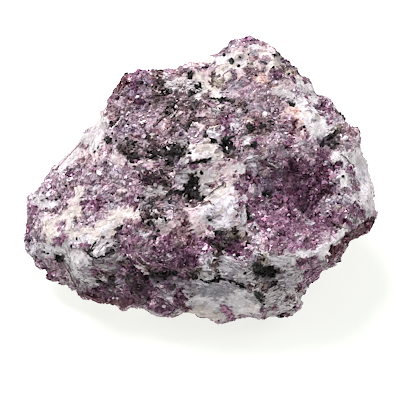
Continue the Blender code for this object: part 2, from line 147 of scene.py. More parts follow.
# Where the minerals lie on the side that is seen, area by area, as rows of a mineral and its patches. A
# patch has the place of its middle across and down and its half sizes (6 and 5 if it doesn't say), in steps
# of the picture, and its turn in degrees anticlockwise. A later patch lies over an earlier one.
Patch = namedtuple("Patch", "across down half_length half_width turn", defaults=(6, 5, 0))
AREAS = {
    "whole side": (
        ("mauve", (250, 110, 80, 60), (145, 125, 45, 30, 20)),
        ("lilac", (95, 190, 60, 45, 30), (46, 240, 36, 46)),
        ("plum", (290, 200, 55, 45)),
        ("blush", (215, 200, 36, 42)),
        ("plum", (165, 250, 46, 32, -10)),
        ("ice", (225, 265, 36, 32)),
        ("white", (362, 172, 22, 46, -12)),
        ("chalk", (342, 176, 12, 34, -8), (60, 240, 22, 24)),
        ("grey", (95, 270, 42, 30, -25), (280, 290, 46, 36, 10)),
    ),
    "knob": (
        ("taupe", (136, 90, 28, 20, 20)),
        ("rose", (146, 73, 16, 6, 10)),
        ("mauve", (145, 71, 9, 4, 10), (122, 101, 12, 6)),
        ("pepper", (156, 104, 8, 5, 20)),
        ("umber", (160, 76, 3, 5, -20), (156, 84, 6, 7), (161, 98, 4, 10)),
        ("plum", (139, 70, 5, 2.5, 20)),
        ("black", (163, 83, 4, 4), (147, 85, 4, 2), (163, 91, 3, 5, 10)),
        ("deep", (132, 87, 5, 4)),
        ("violet", (138, 79, 7, 4), (144, 79), (140, 93, 9, 6), (132, 94, 10, 6), (134, 96),
          (143, 98, 6, 4)),
        ("deep", (134, 87, 3, 6), (140, 102, 6, 3)),
        ("black", (148, 85, 4, 1.5)),
        ("rust", (154, 80, 5, 5), (121, 83, 10, 5, 50), (121, 84, 8, 4, 40), (117, 86, 4, 10, -35),
          (131, 100, 3, 4)),
        ("taupe", (146, 72), (131, 76, 8, 4, 20), (118, 95, 7, 5, 20)),
        ("rust", (124, 80, 5, 5, 50)),
        ("plum", (146, 72, 5, 4), (133, 76, 6, 4), (110, 96)),
    ),
    "saddle": (
        ("pink", (182, 68, 18, 5, 18)),
        ("blush", (196, 64, 8, 3, 15), (178, 80, 11, 4, 30)),
        ("rose", (178, 70, 6, 3, 20)),
        ("white", (166, 77, 3, 4)),
        ("grey", (181, 83, 8, 5), (178, 85, 6, 4), (187, 87, 7, 6), (186, 90, 20, 13), (205, 90, 5, 4)),
        ("cream", (197, 74, 12, 6), (166, 88, 3, 5)),
        ("umber", (181, 71, 1.5, 4, -30), (161, 86, 3, 7)),
        ("speckle", (169, 84, 6, 6), (170, 85, 6, 6), (182, 85, 5, 4), (184, 98, 12, 6)),
        ("black", (203, 66, 5, 1.5, 20), (189, 73, 4, 2.5), (190, 77, 2.5, 1.5), (196, 87, 4, 4, 30),
          (190, 94, 4, 3, 40), (174, 103, 6, 4, 20)),
        ("pepper", (192, 103, 10, 6)),
        ("grey", (170, 84, 5, 5), (194, 84, 5, 4)),
        ("rose", (182, 72, 5, 4)),
        ("cream", (198, 96, 3, 3)),
        # Painted glint: the small white patch at (174, 93) stands for a highlight on mica
        ("white", (174, 93, 1.6, 1.6)),
        ("taupe", (153, 90), (170, 96)),
        ("mauve", (146, 95, 6, 4)),
        ("umber", (157, 82, 4, 9, -20), (158, 96, 5, 4)),
        ("plum", (158, 72)),
        ("umber", (158, 71, 5, 4), (156, 74, 5, 3)),
    ),
    "crest": (
        ("peach", (264, 78, 8, 6)),
        ("slate", (240, 84, 9, 5, 10)),
        ("cream", (257, 57, 25, 9, -15), (224, 64, 17, 9, 15), (212, 90, 14, 7, -40), (236, 95, 6, 2, 25)),
        ("grey", (229, 56, 7, 4, 20), (226, 92, 6, 4)),
        ("speckle", (206, 95, 6, 4)),
        ("blush", (252, 58, 9, 5), (262, 60, 9, 5, -20), (241, 70, 7, 5), (242, 71, 4, 5)),
        ("violet", (252, 52, 5, 3, -10), (263, 100, 8, 6, -40)),
        ("mauve", (215, 58, 3, 3, 45), (206, 65, 8, 2, 20), (266, 96)),
        ("lilac", (234, 43, 9, 4, 40)),
        ("magenta", (247, 39, 6, 3)),
        ("black", (222, 100, 13, 2, 5)),
        ("rose", (256, 68, 6, 4, -20), (268, 85, 10, 3.5), (265, 96, 6, 4)),
        ("peach", (279, 84, 6, 4)),
        ("pink", (247, 43, 5, 2), (250, 93, 10, 5)),
        ("umber", (250, 78, 2.5, 8, 5), (243, 94, 2, 2), (237, 104, 7, 4, -10)),
        ("mauve", (254, 43, 4, 3), (276, 77, 9, 6, -30), (254, 83, 5, 5), (289, 76, 4, 6, -20)),
        ("pink", (266, 46, 11, 4, -25), (254, 84)),
        ("ash", (227, 47, 1.5, 4, -30), (278, 51, 1.5, 4, 30)),
        ("lilac", (252, 95, 7, 5), (230, 96, 6, 4)),
        ("flint", (256, 60, 13, 6, -10)),
        ("plum", (278, 71, 6, 4, -30)),
        ("rust", (283, 68, 4, 5, -40)),
        ("plum", (278, 72, 6, 4)),
        ("deep", (278, 72, 5, 4)),
        ("olive", (252, 62, 5, 3, 20), (287, 66, 5, 4, -45), (216, 78, 8, 5, -10)),
        ("flint", (228, 77, 6, 4.5, 20)),
        ("cream", (208, 58, 7, 4, 20), (242, 60, 8, 5), (206, 78, 8, 4), (216, 95, 7, 5, -30),
          (209, 96, 7, 5, -30)),
        ("olive", (217, 82, 8, 5, -20), (218, 84, 7, 4, -20)),
        ("rose", (257, 57, 6, 2.5), (249, 69, 4, 8)),
        ("mauve", (266, 60, 6, 4), (246, 75, 4, 4)),
        ("taupe", (254, 72, 5, 5), (206, 96)),
        ("white", (220, 59, 6, 4), (279, 93, 11, 6, 10), (218, 96)),
        ("lilac", (266, 95, 7, 5), (277, 95, 8, 4), (282, 98, 12, 7)),
        ("blush", (254, 48, 7, 4), (242, 49), (266, 49, 6, 3, -20), (279, 60, 6, 5, -40), (206, 71, 6, 4),
          (242, 72), (290, 93, 9, 5, -20), (254, 96, 5, 4)),
        ("cream", (278, 60), (243, 61), (219, 71, 8, 6, 20), (228, 76, 5, 4), (206, 84), (218, 96, 6, 4),
          (220, 96, 5, 4)),
        ("white", (254, 47, 6, 4), (242, 60, 5, 4), (217, 94, 4, 3)),
        ("slate", (254, 53, 5, 2.2)),
        ("black", (291, 104, 3.5, 3, -20)),
    ),
    "right shoulder": (
        ("tan", (297, 73, 11, 5, -48)),
        ("rust", (291, 129, 4, 6)),
        ("plum", (293, 80, 4, 5, -30), (326, 105, 6, 6)),
        ("mauve", (309, 84, 9, 3, -48), (330, 146, 12, 7, 40)),
        ("pepper", (342, 116, 6, 4, -50), (334, 137, 7, 5, 40), (334, 139, 5, 4, 40)),
        ("white", (310, 89, 13, 5, -45)),
        ("cream", (300, 75, 4, 5, -40)),
        ("black", (337, 146, 3.5, 3, 30)),
        ("lilac", (298, 90, 10, 9, -30), (330, 100, 8, 4, -50), (327, 114, 6, 8), (342, 170, 7, 4, -30),
          (343, 177, 7, 6, -20)),
        ("slate", (325, 118, 4, 3)),
        ("magenta", (327, 110, 4, 4)),
        ("pink", (333, 113, 4, 6)),
        ("magenta", (332, 120, 3, 3)),
        ("white", (303, 86, 8, 3, -45), (302, 103, 9, 5, -30)),
        ("mauve", (315, 103, 7, 5)),
        ("violet", (318, 104, 4, 3)),
        ("plum", (326, 164, 13, 11)),
        ("white", (315, 95, 6, 4, -40), (311, 118, 24, 12, -42), (328, 128, 16, 6, 25),
          (333, 129, 14, 2, 33), (326, 131, 7, 4, 30), (305, 97, 6, 4, -40), (314, 120, 8, 5, -40)),
        ("mauve", (350, 136, 9, 11)),
        ("peach", (292, 112, 8, 7, -50), (299, 124, 9, 4, -45)),
        ("pepper", (339, 130, 6, 4, 40), (333, 136, 9, 5, 42)),
        ("black", (343, 116, 5, 3, -50)),
        ("blush", (290, 84), (305, 131, 9, 5, -20)),
        ("pink", (306, 136, 9, 4, -20)),
        ("blush", (297, 138, 5, 7)),
        ("lilac", (290, 97, 7, 5), (312, 143, 13, 8), (346, 147, 9, 4), (352, 156, 10, 7, -45)),
        ("grey", (318, 136, 5, 4)),
        # Painted glint: the small white patch at (345, 137.5) stands for a highlight on mica
        ("white", (289, 94, 8, 4, -20), (278, 96, 7, 4), (313, 131, 6, 4), (345, 137.5, 3, 2.5),
          (364, 172, 9, 30, 15), (361, 157, 5, 12, 10)),
        ("ice", (347, 161, 10, 4, -40)),
        ("plum", (325, 107, 7, 6, -30), (325, 152, 8, 6), (355, 172, 3, 7, 20)),
        ("rose", (350, 131), (302, 132), (292, 137, 3, 5)),
        ("deep", (338, 164, 6, 4)),
        ("blush", (302, 132, 3, 2.5), (340, 151, 8, 3, -20)),
        ("painted_light_white", (324, 132, 8, 4, 30)),
        ("milk", (326, 132, 8, 4, 30)),
        ("olive", (337, 130, 7, 4, 48)),
        ("lilac", (314, 108, 6, 4), (338, 120, 6, 5, -30), (338, 120), (355, 152, 8, 5, -40),
          (340, 153, 8, 5, -20)),
        ("shell", (310, 115, 12, 7, -42)),
        # Painted glint: the small white patch at (345, 138) stands for a highlight on mica
        ("white", (314, 121, 6, 4, -40), (345, 138, 3, 2.5), (338, 157, 7, 5, -20), (361, 166, 6, 8)),
        ("painted_light_white", (314, 120, 5, 4), (325, 131, 7, 4, 35)),
        ("milk", (314, 108, 5, 4)),
        ("slate", (309, 111, 4, 1.6, -20), (314, 121, 3.5, 1.4)),
    ),
    "top": (
        ("slate", (277, 154, 9, 3, 35)),
        ("olive", (266, 119, 5, 4)),
        ("tan", (249, 120, 3, 4), (264, 152, 5, 5)),
        ("grey", (236, 116, 8, 5, 30), (245, 137, 7, 5)),
        ("pepper", (268, 126, 9, 5)),
        # Painted glint: the white patch at (264, 113) stands for a highlight on mica
        ("white", (264, 113, 5, 3, -40), (246, 142, 4, 4, -40), (262, 157, 3, 3, 45)),
        ("ash", (233, 118, 7, 1.3, 40)),
        ("black", (246, 112, 4, 1.4), (272, 122, 4, 1.5, 15), (213, 141, 8, 1.8, -15), (225, 144, 6, 7),
          (246, 147, 3, 3), (229, 152, 5, 5), (206, 136, 2, 4, 10)),
        ("plum", (258, 141, 4, 3), (252, 143)),
        ("rose", (256, 112, 4, 3, -30), (210, 114, 13, 8), (280, 121, 6, 2, 15), (210, 124, 12, 4, 15),
          (290, 120, 7, 5, -30)),
        ("cream", (222, 107, 6, 3, 20), (214, 127, 8, 2, 25)),
        ("ice", (213, 133), (213, 158, 6, 5, 20)),
        ("mauve", (281, 128, 9, 7), (305, 150, 14, 6, -10), (300, 152, 8, 6)),
        ("rust", (257, 120, 4, 6, -30)),
        ("black", (263, 126, 5, 4), (250, 128, 5, 3.5), (254, 145, 3, 3), (204, 162, 6, 2, 10)),
        ("violet", (266, 106, 8, 5, 30), (226, 122, 6, 6)),
        ("cream", (203, 149, 17, 9, -5)),
        ("umber", (243, 105, 6, 4, -30), (255, 119, 4, 2, 50), (266, 119, 6, 3), (254, 132, 7, 4),
          (266, 132, 5, 4), (248, 148, 4, 2, 20), (253, 157, 4, 2, -10), (194, 163, 8, 2, 5)),
        ("ice", (235, 125, 7, 6, -40), (247, 158)),
        ("taupe", (266, 120), (264, 130, 9, 3)),
        ("lilac", (254, 108, 6, 4), (276, 108, 9, 5, -30), (190, 136, 14, 8), (281, 138, 10, 8, 20),
          (314, 143, 9, 6), (303, 144, 6, 4), (272, 149, 8, 4, 40), (218, 154, 5, 4)),
        ("mauve", (266, 104, 7, 6), (278, 108), (229, 119, 7, 5)),
        ("cream", (206, 143, 7, 4), (206, 155, 8, 5), (218, 156, 6, 4)),
        ("plum", (224, 120, 4, 5), (230, 120), (225, 130, 3, 4), (225, 131, 4, 3), (290, 144, 5, 5),
          (326, 145, 6, 4), (326, 147, 5, 4)),
        ("rose", (275, 100, 5, 4)),
        ("blush", (278, 94, 6, 4), (206, 111, 6, 3, 20)),
        ("grey", (216, 112, 8, 4), (218, 144, 5, 4)),
        ("white", (279, 93, 5, 3), (206, 156), (207, 156)),
        ("umber", (203, 106, 5, 3), (266, 131, 5, 4), (266, 132, 6, 3)),
        ("ash", (216, 119, 4, 2), (329, 144, 4, 3)),
        ("pepper", (228, 137, 5, 3, 10), (330, 139, 8, 4, 52)),
        ("violet", (181, 134, 4, 3), (326, 144, 5, 5)),
        ("lilac", (302, 144), (327, 147, 3, 2.5), (327, 148, 4, 3)),
        ("milk", (302, 143, 3, 1.6, 20)),
        ("pink", (290, 120), (232, 143, 4, 4)),
        ("rust", (290, 120, 5, 4), (291, 133, 3, 4)),
        ("pink", (288, 118, 3, 3)),
    ),
    "slab": (
        ("white", (187, 174, 9, 5, 25)),
        ("plum", (193, 168, 5, 3)),
        ("violet", (143, 110, 8, 5), (177, 167, 5, 5)),
        ("grey", (184, 163, 6, 3)),
        ("speckle", (178, 145, 11, 5, -10)),
        ("mauve", (156, 113, 8, 8, 30), (135, 118, 12, 7, 15), (146, 120, 7, 6)),
        # Painted glint: this small grey patch stands for a highlight in the black grains
        ("slate", (167, 148, 3, 1.2, -45)),
        ("umber", (118, 116, 3, 4), (115, 123, 2, 6, -40), (157, 123, 7, 1.4, 50), (170, 143, 5, 4, 30),
          (134, 156), (157, 178, 7, 4), (158, 180, 7, 6), (149, 182, 11, 6), (166, 182, 9, 8)),
        ("pepper", (168, 112, 9, 5, 40), (190, 120, 10, 8)),
        ("cream", (174, 115, 5, 1.6, 45), (154, 160.5, 5, 2.5, 20)),
        ("blush", (166, 125, 9, 4, 40), (199, 127, 6, 4), (166, 131, 7, 4, 45), (140, 165, 12, 4, 10),
          (150, 168, 10, 5)),
        ("pink", (150, 167, 12, 4)),
        ("rose", (181, 108, 5, 8), (168, 120, 7, 5, 40), (148, 131, 5, 4, -20), (105, 147, 4, 10),
          (158, 168, 7, 3), (147, 174, 5, 2, 10)),
        ("lilac", (125, 129, 11, 5, 15), (193, 131), (146, 168), (172, 174, 4, 4)),
        ("violet", (121, 131), (131, 132, 6, 4)),
        ("blush", (146, 167, 4, 2.5)),
        ("black", (192, 110, 5, 5), (156, 138, 4, 1.2, 40), (108, 141, 3, 5, 10), (185, 152, 5, 5),
          (172, 156, 12, 5), (170, 164, 4, 6, 20)),
        ("cream", (154, 134, 7, 3, 50), (194, 155, 8, 5)),
        ("milk", (194, 156)),
        ("rose", (158, 132, 6, 4), (135, 138, 8, 3)),
        ("painted_light_white", (206, 155, 6, 4), (196, 156, 5, 4)),
        ("taupe", (182, 96), (184, 116, 10, 7), (206, 120)),
        ("umber", (170, 108, 6, 4), (182, 108), (194, 108, 5, 4), (194, 119, 5, 4), (190, 120, 6, 4),
          (194, 120, 5, 4), (173, 131, 4, 5), (182, 144), (153, 145, 5, 7), (109, 149, 2, 5),
          (182, 156, 5, 4), (182, 157, 4, 4), (170, 168, 6, 4), (158, 144, 6, 4, 40)),
        ("taupe", (158, 108), (182, 108, 5, 4), (182, 120), (170, 132), (170, 142, 6, 3), (158, 144)),
        ("mauve", (134, 120), (146, 131)),
        ("pepper", (128, 148, 12, 7, -10), (145, 151, 7, 6)),
        ("umber", (158, 108, 5, 4), (136, 151, 4, 4), (122, 152, 5, 3, -20), (133, 155, 8, 5),
          (124, 149, 5, 4)),
        ("mauve", (158, 109, 5, 4), (143, 143, 6, 4)),
        ("slate", (146, 153, 4, 3)),
        ("ash", (158, 107, 5, 3)),
        ("black", (193, 109, 3, 2), (156, 154, 7, 4, -10), (182, 155, 3, 2), (171, 161, 4, 5)),
        ("pepper", (158, 156)),
        ("black", (166, 152, 7, 5), (163, 154, 4, 3), (158, 155, 6, 4), (178, 149, 7, 5, -20),
          (181, 155, 4, 3)),
        ("ash", (182, 143, 6, 4)),
        ("speckle", (168, 149, 2.5, 1.6)),
    ),
    "big black crystal": (
        ("black", (193, 183, 11, 8, 20), (178, 193, 12, 3, 5), (193, 199, 9, 6), (198, 176, 4, 5),
          (193, 190, 7, 5, 30), (203, 196, 5, 5, 10)),
        # Painted glints: these white patches stand for highlights in the black crystal
        ("white", (182, 189, 1.6, 3, -20), (185, 199, 4, 4, -30)),
        ("lilac", (177, 184, 4, 6)),
        ("grey", (181, 177, 7, 5)),
        ("ice", (182, 180)),
        ("black", (175, 193, 7, 2.5)),
    ),
    "middle": (
        ("cream", (208, 178, 13, 9), (218, 197, 14, 11, 20), (207, 191, 4, 4)),
        ("blush", (229, 173, 15, 9, -20), (198, 213, 14, 10), (200, 228, 6, 9)),
        ("black", (196, 201, 9, 5, 10)),
        ("taupe", (194, 204, 5, 4)),
        ("pink", (231, 180, 12, 6)),
        ("plum", (243, 186, 6, 8), (211, 229, 4, 2.5, -20)),
        ("mauve", (232, 181, 8, 4)),
        ("magenta", (242, 191, 4, 5)),
        ("ice", (230, 206, 9, 13), (214, 216, 12, 8), (226, 225, 10, 5)),
        ("rose", (222, 167, 5, 3), (212, 185, 8, 3, 20)),
        ("lilac", (240, 210, 4, 12)),
        ("magenta", (242, 203, 3, 4)),
        ("cream", (207, 181, 7, 6), (226, 187, 10, 5)),
        ("pink", (230, 180, 7, 5)),
        ("ash", (223, 185, 3, 1.2, -50), (216, 189.5, 7, 1.2, 45), (208, 220, 3, 2.5)),
        ("milk", (229, 206, 9, 15), (221, 221, 9, 6)),
        ("ice", (244, 197, 3, 3), (206, 216, 6, 6), (218, 217, 5, 4), (246, 218, 5, 10, -10)),
        ("white", (206, 215, 5, 5)),
        ("cream", (216, 203, 9, 7)),
        ("shell", (207, 180, 8, 6), (219, 191, 8, 5), (218, 203, 8, 8)),
        ("blush", (236, 167, 9, 7), (207, 173, 7, 5), (246, 231, 6, 8)),
        ("milk", (218, 204)),
        ("grey", (206, 192)),
        ("cream", (206, 180, 6, 4), (207, 180, 5, 3)),
        ("painted_light_white", (206, 176, 6, 7)),
        ("lilac", (206, 168, 5, 4)),
        ("rose", (212, 186, 6, 2.5, 20)),
        ("umber", (230, 156, 6, 4), (246, 236, 1.6, 3), (249, 243, 3, 4)),
        ("tan", (243, 241, 3, 4)),
    ),
    "pocket": (
        ("black", (249, 218, 2.5, 5, 20), (334, 225, 4.5, 1.6, -45)),
        ("lilac", (254, 170, 14, 12), (323, 214, 8, 4)),
        ("violet", (268, 183), (262, 186, 14, 8), (325, 227)),
        ("blush", (242, 168, 7, 6)),
        ("black", (266, 192, 6, 3, -10)),
        ("plum", (286, 168, 28, 12, -5), (255, 203, 12, 9), (314, 216, 7, 5)),
        ("pink", (275, 241, 20, 13)),
        ("deep", (292, 175, 22, 8, -5), (300, 195, 16, 18), (330, 216, 3, 4), (302, 193, 7, 6)),
        ("wine", (247, 175), (251, 222, 3, 5, -20)),
        ("white", (242, 168, 7, 5)),
        ("slate", (272, 163, 9, 2.5, -40)),
        ("magenta", (291, 228, 13, 8), (272, 247, 8, 4)),
        ("pink", (279, 156, 8, 5, 20), (242, 180), (308, 240, 14, 8, 10)),
        ("blush", (230, 179, 7, 5)),
        ("violet", (278, 167, 7, 5), (278, 168, 8, 6), (262, 178, 8, 6), (284, 178, 8, 5)),
        ("mauve", (242, 156, 5, 5), (266, 156), (301, 156, 7, 5), (298, 215, 10, 6)),
        ("lilac", (266, 156, 6, 4), (290, 156), (254, 168, 7, 6), (254, 191, 7, 5), (254, 192),
          (298, 236, 5, 3)),
        ("milk", (252, 166, 2.5, 2), (254, 166, 3, 2)),
        ("plum", (284, 166, 7, 4), (322, 178, 13, 22), (300, 180), (254, 181, 6, 4), (291, 181, 9, 7),
          (281, 200, 12, 9), (314, 226, 7, 5), (302, 227, 9, 6), (286, 231, 8, 5), (278, 240, 7, 5)),
        ("black", (271, 198, 3, 6, -20)),
        ("slate", (310, 223, 5, 3)),
        ("magenta", (275, 215, 15, 9), (290, 240), (307, 245, 11, 5, 10)),
        ("deep", (292, 165, 8, 4), (326, 186, 6, 6), (278, 192), (290, 192), (322, 192, 6, 6),
          (292, 203, 8, 6), (290, 215, 7, 5)),
        ("mauve", (302, 156), (314, 156, 7, 6), (278, 168), (266, 172, 7, 5), (324, 203, 12, 6, 20),
          (266, 204), (302, 214, 8, 5)),
        ("lilac", (302, 156, 5, 5), (326, 204, 7, 5)),
        ("pink", (262, 213, 5, 3), (322, 236, 9, 6, 30)),
        ("wine", (322, 171, 11, 7), (254, 180, 5, 5), (325, 190, 8, 6), (290, 192, 5, 4), (285, 202, 4, 3),
          (308, 217, 5, 4)),
        ("violet", (330, 164, 6, 4, -30), (314, 229, 6, 4)),
        ("plum", (302, 168), (314, 180, 5, 4), (314, 216), (278, 228), (314, 228)),
        ("magenta", (302, 168, 5, 4), (279, 205, 6, 4)),
        ("deep", (303, 204, 7, 9), (290, 204)),
        ("plum", (278, 204)),
        ("pink", (314, 171, 4, 3), (302, 216)),
        ("wine", (302, 204, 6, 6), (303, 206), (290, 216)),
        ("shaded_deep", (302, 204, 5, 5)),
        ("deep", (314, 204, 5, 5)),
    ),
    "right end": (
        ("olive", (339, 207, 7, 3)),
        ("slate", (333, 203, 9, 4)),
        ("plum", (358, 208, 6, 6), (351, 227, 6, 3)),
        ("lilac", (340, 185, 7, 6), (326, 204, 5, 4)),
        ("ice", (350, 190, 10, 9), (340, 235, 12, 4, 42)),
        ("slate", (345, 200, 8, 4, -40)),
        ("rose", (357, 185, 5, 6), (342, 213, 9, 7)),
        ("violet", (334, 185, 2.5, 2.5), (337, 191, 5, 4), (338, 204, 5, 4)),
        ("deep", (356, 189.5, 3, 1.5)),
        ("rust", (365, 228, 14, 6, 38), (355, 237, 9, 5, 35)),
        ("mauve", (338, 192, 5, 5), (338, 192, 5, 4)),
        ("grey", (363, 213, 7, 5)),
        ("white", (367, 191, 9, 20), (338, 239, 13, 5, 42)),
        ("chalk", (361, 181, 6, 6)),
        ("painted_light_white", (366, 176, 9, 26, 12), (345, 158, 14, 4, -40)),
        ("mauve", (355, 138, 7, 12)),
        ("rose", (354, 133, 5, 7)),
        ("black", (337, 147, 4, 2.5, 20)),
        ("plum", (353, 172, 3.5, 8, 30), (344, 221, 9, 4)),
        ("lilac", (350, 146, 7, 4), (352, 154, 8, 5, -30), (350, 155, 7, 4, -30), (350, 180, 6, 6),
          (350, 192, 5, 4), (348, 178, 4, 7), (349, 180, 4, 5)),
        ("milk", (360, 157, 5, 9, 20), (364, 172, 6, 16, 5)),
        ("ash", (350, 234, 6, 2.5, 45)),
        ("grey", (342, 145, 3, 4), (372, 214, 3, 5), (357, 220, 8, 4, 30), (347, 242, 4, 4)),
        ("rust", (336, 253, 7, 11, -35), (330, 262, 5, 6), (349, 239, 7, 5, 35)),
        ("umber", (338, 144, 5, 5)),
        ("ash", (338, 263, 4, 2.5, 40)),
        ("painted_light_white", (361, 160, 5, 12, 15)),
        ("white", (344, 158, 9, 2.5, -50), (362, 166, 4, 8), (345, 178, 6, 9), (374, 204, 3, 6),
          (350, 156, 6, 5, -30)),
        ("painted_light_white", (362, 167, 4, 8)),
        ("white", (361, 167, 4, 4)),
        ("plum", (350, 214, 8, 6), (361, 214, 6, 5, 30)),
        ("lilac", (338, 180, 5, 6), (350, 216, 6, 4)),
        ("plum", (338, 216)),
    ),
    "rim": (
        ("white", (305, 253, 13, 4.5, 10), (266, 256, 7, 3, -45), (283, 261, 13, 4, -5),
          (324, 248, 10, 6, 45)),
        ("pink", (325, 238, 8, 6, 30)),
        ("magenta", (291, 249, 8, 5)),
        ("ice", (255, 235, 5, 8, 10), (322, 258, 4, 6)),
        ("plum", (266, 228), (326, 228)),
        ("white", (326, 252, 7, 4, 40), (302, 253, 9, 3.5, 10)),
        ("painted_light_white", (338, 239, 11, 4, 42), (326, 251, 6, 4, 40)),
        ("lilac", (254, 228, 5, 5), (254, 229, 5, 4), (326, 240, 6, 4), (254, 248, 5, 6), (254, 240, 6, 4)),
    ),
    "lower right": (
        ("ash", (265, 283, 7, 5)),
        ("grey", (272, 297, 12, 8), (280, 309, 14, 7, 5)),
        ("olive", (264, 261, 5, 5), (262, 286, 3, 3), (288, 297, 5, 4), (303, 300, 5, 4)),
        ("black", (268, 273, 11, 5, -5), (271, 286, 3, 2.5), (259, 297, 8.5, 3.6, -55)),
        ("umber", (284, 266, 3, 4, 30), (283, 274, 4, 2.5, 30), (266, 288, 5, 4), (283, 316, 7, 1.6, 10)),
        ("slate", (254, 259, 4, 4.5), (275, 265, 8, 3.5), (292, 277, 8, 5, 30), (290, 279, 14, 8, 30),
          (247, 284, 8, 5)),
        ("umber", (259, 262, 2.5, 6), (276, 283, 5, 2, -20), (254, 288, 5, 4)),
        ("magenta", (301, 264, 6, 5, -30), (318, 268, 4, 8), (308, 270, 8, 4)),
        # Painted glint: this white patch stands for a highlight on mica
        ("white", (257, 308, 4, 3)),
        ("black", (257, 268, 5, 5), (262, 272, 6, 6), (262, 271, 9, 5, -10)),
        ("rose", (314, 277, 7, 5, 40), (275, 309, 5, 3), (264, 317, 3, 3)),
        ("plum", (310, 259, 8, 3), (315, 274, 7, 6, 45), (309, 280, 16, 9, 45), (262, 311, 3, 2),
          (314, 269, 6, 3), (314, 277, 6, 4)),
        ("magenta", (313, 263, 7, 5)),
        ("white", (301, 253, 8, 4, 10)),
        ("ash", (326, 264, 6, 4), (278, 288, 6, 4)),
        ("deep", (298, 264, 3, 3), (301, 287, 5, 2.5, 45), (302, 262, 3, 4)),
        ("rose", (298, 292, 5, 4, 30)),
        ("rust", (332, 260, 6, 6), (298, 289, 4, 4), (297, 305, 3, 6), (337, 250, 4, 7, -30),
          (336, 251, 3, 8, -35)),
        ("pink", (314, 264, 7, 6), (300, 306, 3, 4)),
        ("chalk", (291, 297, 7, 6), (302, 300, 5, 4), (290, 306, 7, 5)),
        ("ice", (278, 263, 8, 5), (278, 300, 6, 4)),
        ("grey", (300, 277, 5, 6), (252, 279), (290, 300), (290, 300, 6, 4), (290, 276)),
        ("black", (265, 275, 9, 4)),
        ("taupe", (290, 300, 5, 4)),
        ("wine", (330, 263, 4, 4)),
    ),
    "quartz": (
        ("quartz", (220, 302, 33, 18)),
        ("flint", (252, 310, 7, 6), (244, 312, 8, 6), (206, 315, 20, 6, -8)),
        ("smoke", (236, 289, 9, 5), (207, 290, 22, 8), (226, 290, 9, 6), (254, 300, 5, 4)),
        ("quartz", (238, 297, 8, 7)),
        ("magenta", (228, 311, 8, 4, -45)),
        ("white", (242, 312, 6, 4), (254, 312, 6, 4)),
        ("black", (224, 277, 5, 2.5, -10), (210, 281, 10, 1.6, -5), (231, 282, 5, 1.6, -10),
          (240, 286.5, 6, 2, -30)),
        ("slate", (229, 286, 8, 4, -10)),
        ("umber", (218, 275, 2.5, 5)),
        ("plum", (233, 319, 3, 2)),
    ),
    "lower middle": (
        ("ice", (208, 272, 11, 9)),
        ("umber", (238, 230), (216, 265, 5, 7, 30), (193, 274, 8, 5)),
        ("pepper", (225, 240, 17, 9, -10), (220, 272, 7, 6)),
        ("black", (220, 233, 6, 3, -10), (223, 245, 5, 5), (196, 278, 4, 2, 20)),
        ("pepper", (216, 246, 8, 6)),
        ("lilac", (206, 262, 6, 8)),
        ("magenta", (201, 245, 8, 10, 10)),
        ("ice", (208, 262, 5, 8), (232, 271, 13, 8, -10), (229, 262, 12, 4, -30)),
        ("slate", (230, 276)),
        ("grey", (218, 228, 5, 4), (242, 228, 5, 4), (206, 276), (242, 276, 6, 4)),
        ("pink", (238, 266, 9, 1.8, -42)),
        ("white", (206, 276, 3, 2.5), (242, 276, 5, 3)),
        ("deep", (218, 240, 5, 5), (236, 243, 8, 6)),
        ("plum", (198, 240, 4, 5), (242, 251, 10, 7, -30)),
        ("deep", (206, 240, 5, 4), (236, 252, 7, 6, -30), (230, 252)),
        ("umber", (218, 252)),
        ("lilac", (242, 264)),
        ("olive", (236, 235, 6, 3)),
    ),
    "nose": (
        ("speckle", (160, 214, 18, 17)),
        ("slate", (165, 205, 8, 6)),
        ("umber", (160, 199, 8, 2.5), (182, 215, 5, 6), (152, 216, 7, 5), (143, 221, 4, 4),
          (137, 246, 4, 3)),
        ("grey", (154, 192, 10, 5), (158, 192), (161, 225, 10, 5, 20), (171, 260, 6, 2, 25)),
        ("mauve", (181, 202, 7, 4), (150, 234, 12, 6), (148, 250, 12, 7)),
        ("pink", (136, 256, 6, 6)),
        ("rose", (129, 222, 8, 5), (180, 230, 11, 7, -20), (178, 245, 8, 7), (155, 250, 5, 4),
          (160, 266, 8, 4)),
        ("blush", (180, 224, 6, 3), (194, 228, 6, 6), (165, 232, 6, 3)),
        ("plum", (131, 198, 9, 6.5), (133, 203, 7, 4), (154, 241, 5, 4), (166, 246, 8, 8), (126, 252),
          (144, 258, 5, 8, -40), (187, 268, 8, 4)),
        ("pink", (134, 192)),
        ("rust", (184, 227, 3, 4, -30), (188, 243, 5, 9, 20), (168, 265, 4, 4), (178, 266, 5, 5)),
        ("ice", (141, 235, 7, 5, -30), (165, 253, 7, 5)),
        ("lilac", (168, 213, 7, 4), (151, 254, 6, 4, -40)),
        ("pepper", (148, 205, 6, 6), (159, 216, 7, 5)),
        ("lilac", (170, 216, 5, 5)),
        ("umber", (143, 199, 4, 3, 40), (181, 214, 6, 7), (155, 257, 3, 2), (147, 267, 10, 2.5, -38)),
        ("deep", (155, 252), (171, 252, 8, 6), (186, 259, 10, 5), (182, 262, 9, 7), (158, 264, 7, 5),
          (170, 264, 5, 4), (182, 264, 7, 5), (194, 264), (133, 275, 8, 6)),
        ("mauve", (182, 204), (170, 229), (130, 236, 9, 7), (158, 240, 5, 5), (146, 252, 5, 4)),
        ("taupe", (158, 204, 6, 4), (182, 216)),
        ("blush", (171, 229), (143, 269, 10, 1.8, -38)),
        ("rose", (180, 233, 7, 4), (181, 242, 7, 5)),
        ("wine", (170, 240)),
        # Painted shadow: the long thin black patch at (164, 274) follows the ledge under the nose, over its
        # crease
        ("black", (132, 240, 4, 5, -30), (164, 274, 15, 2.4, 3)),
        ("pepper", (162, 278, 13, 3)),
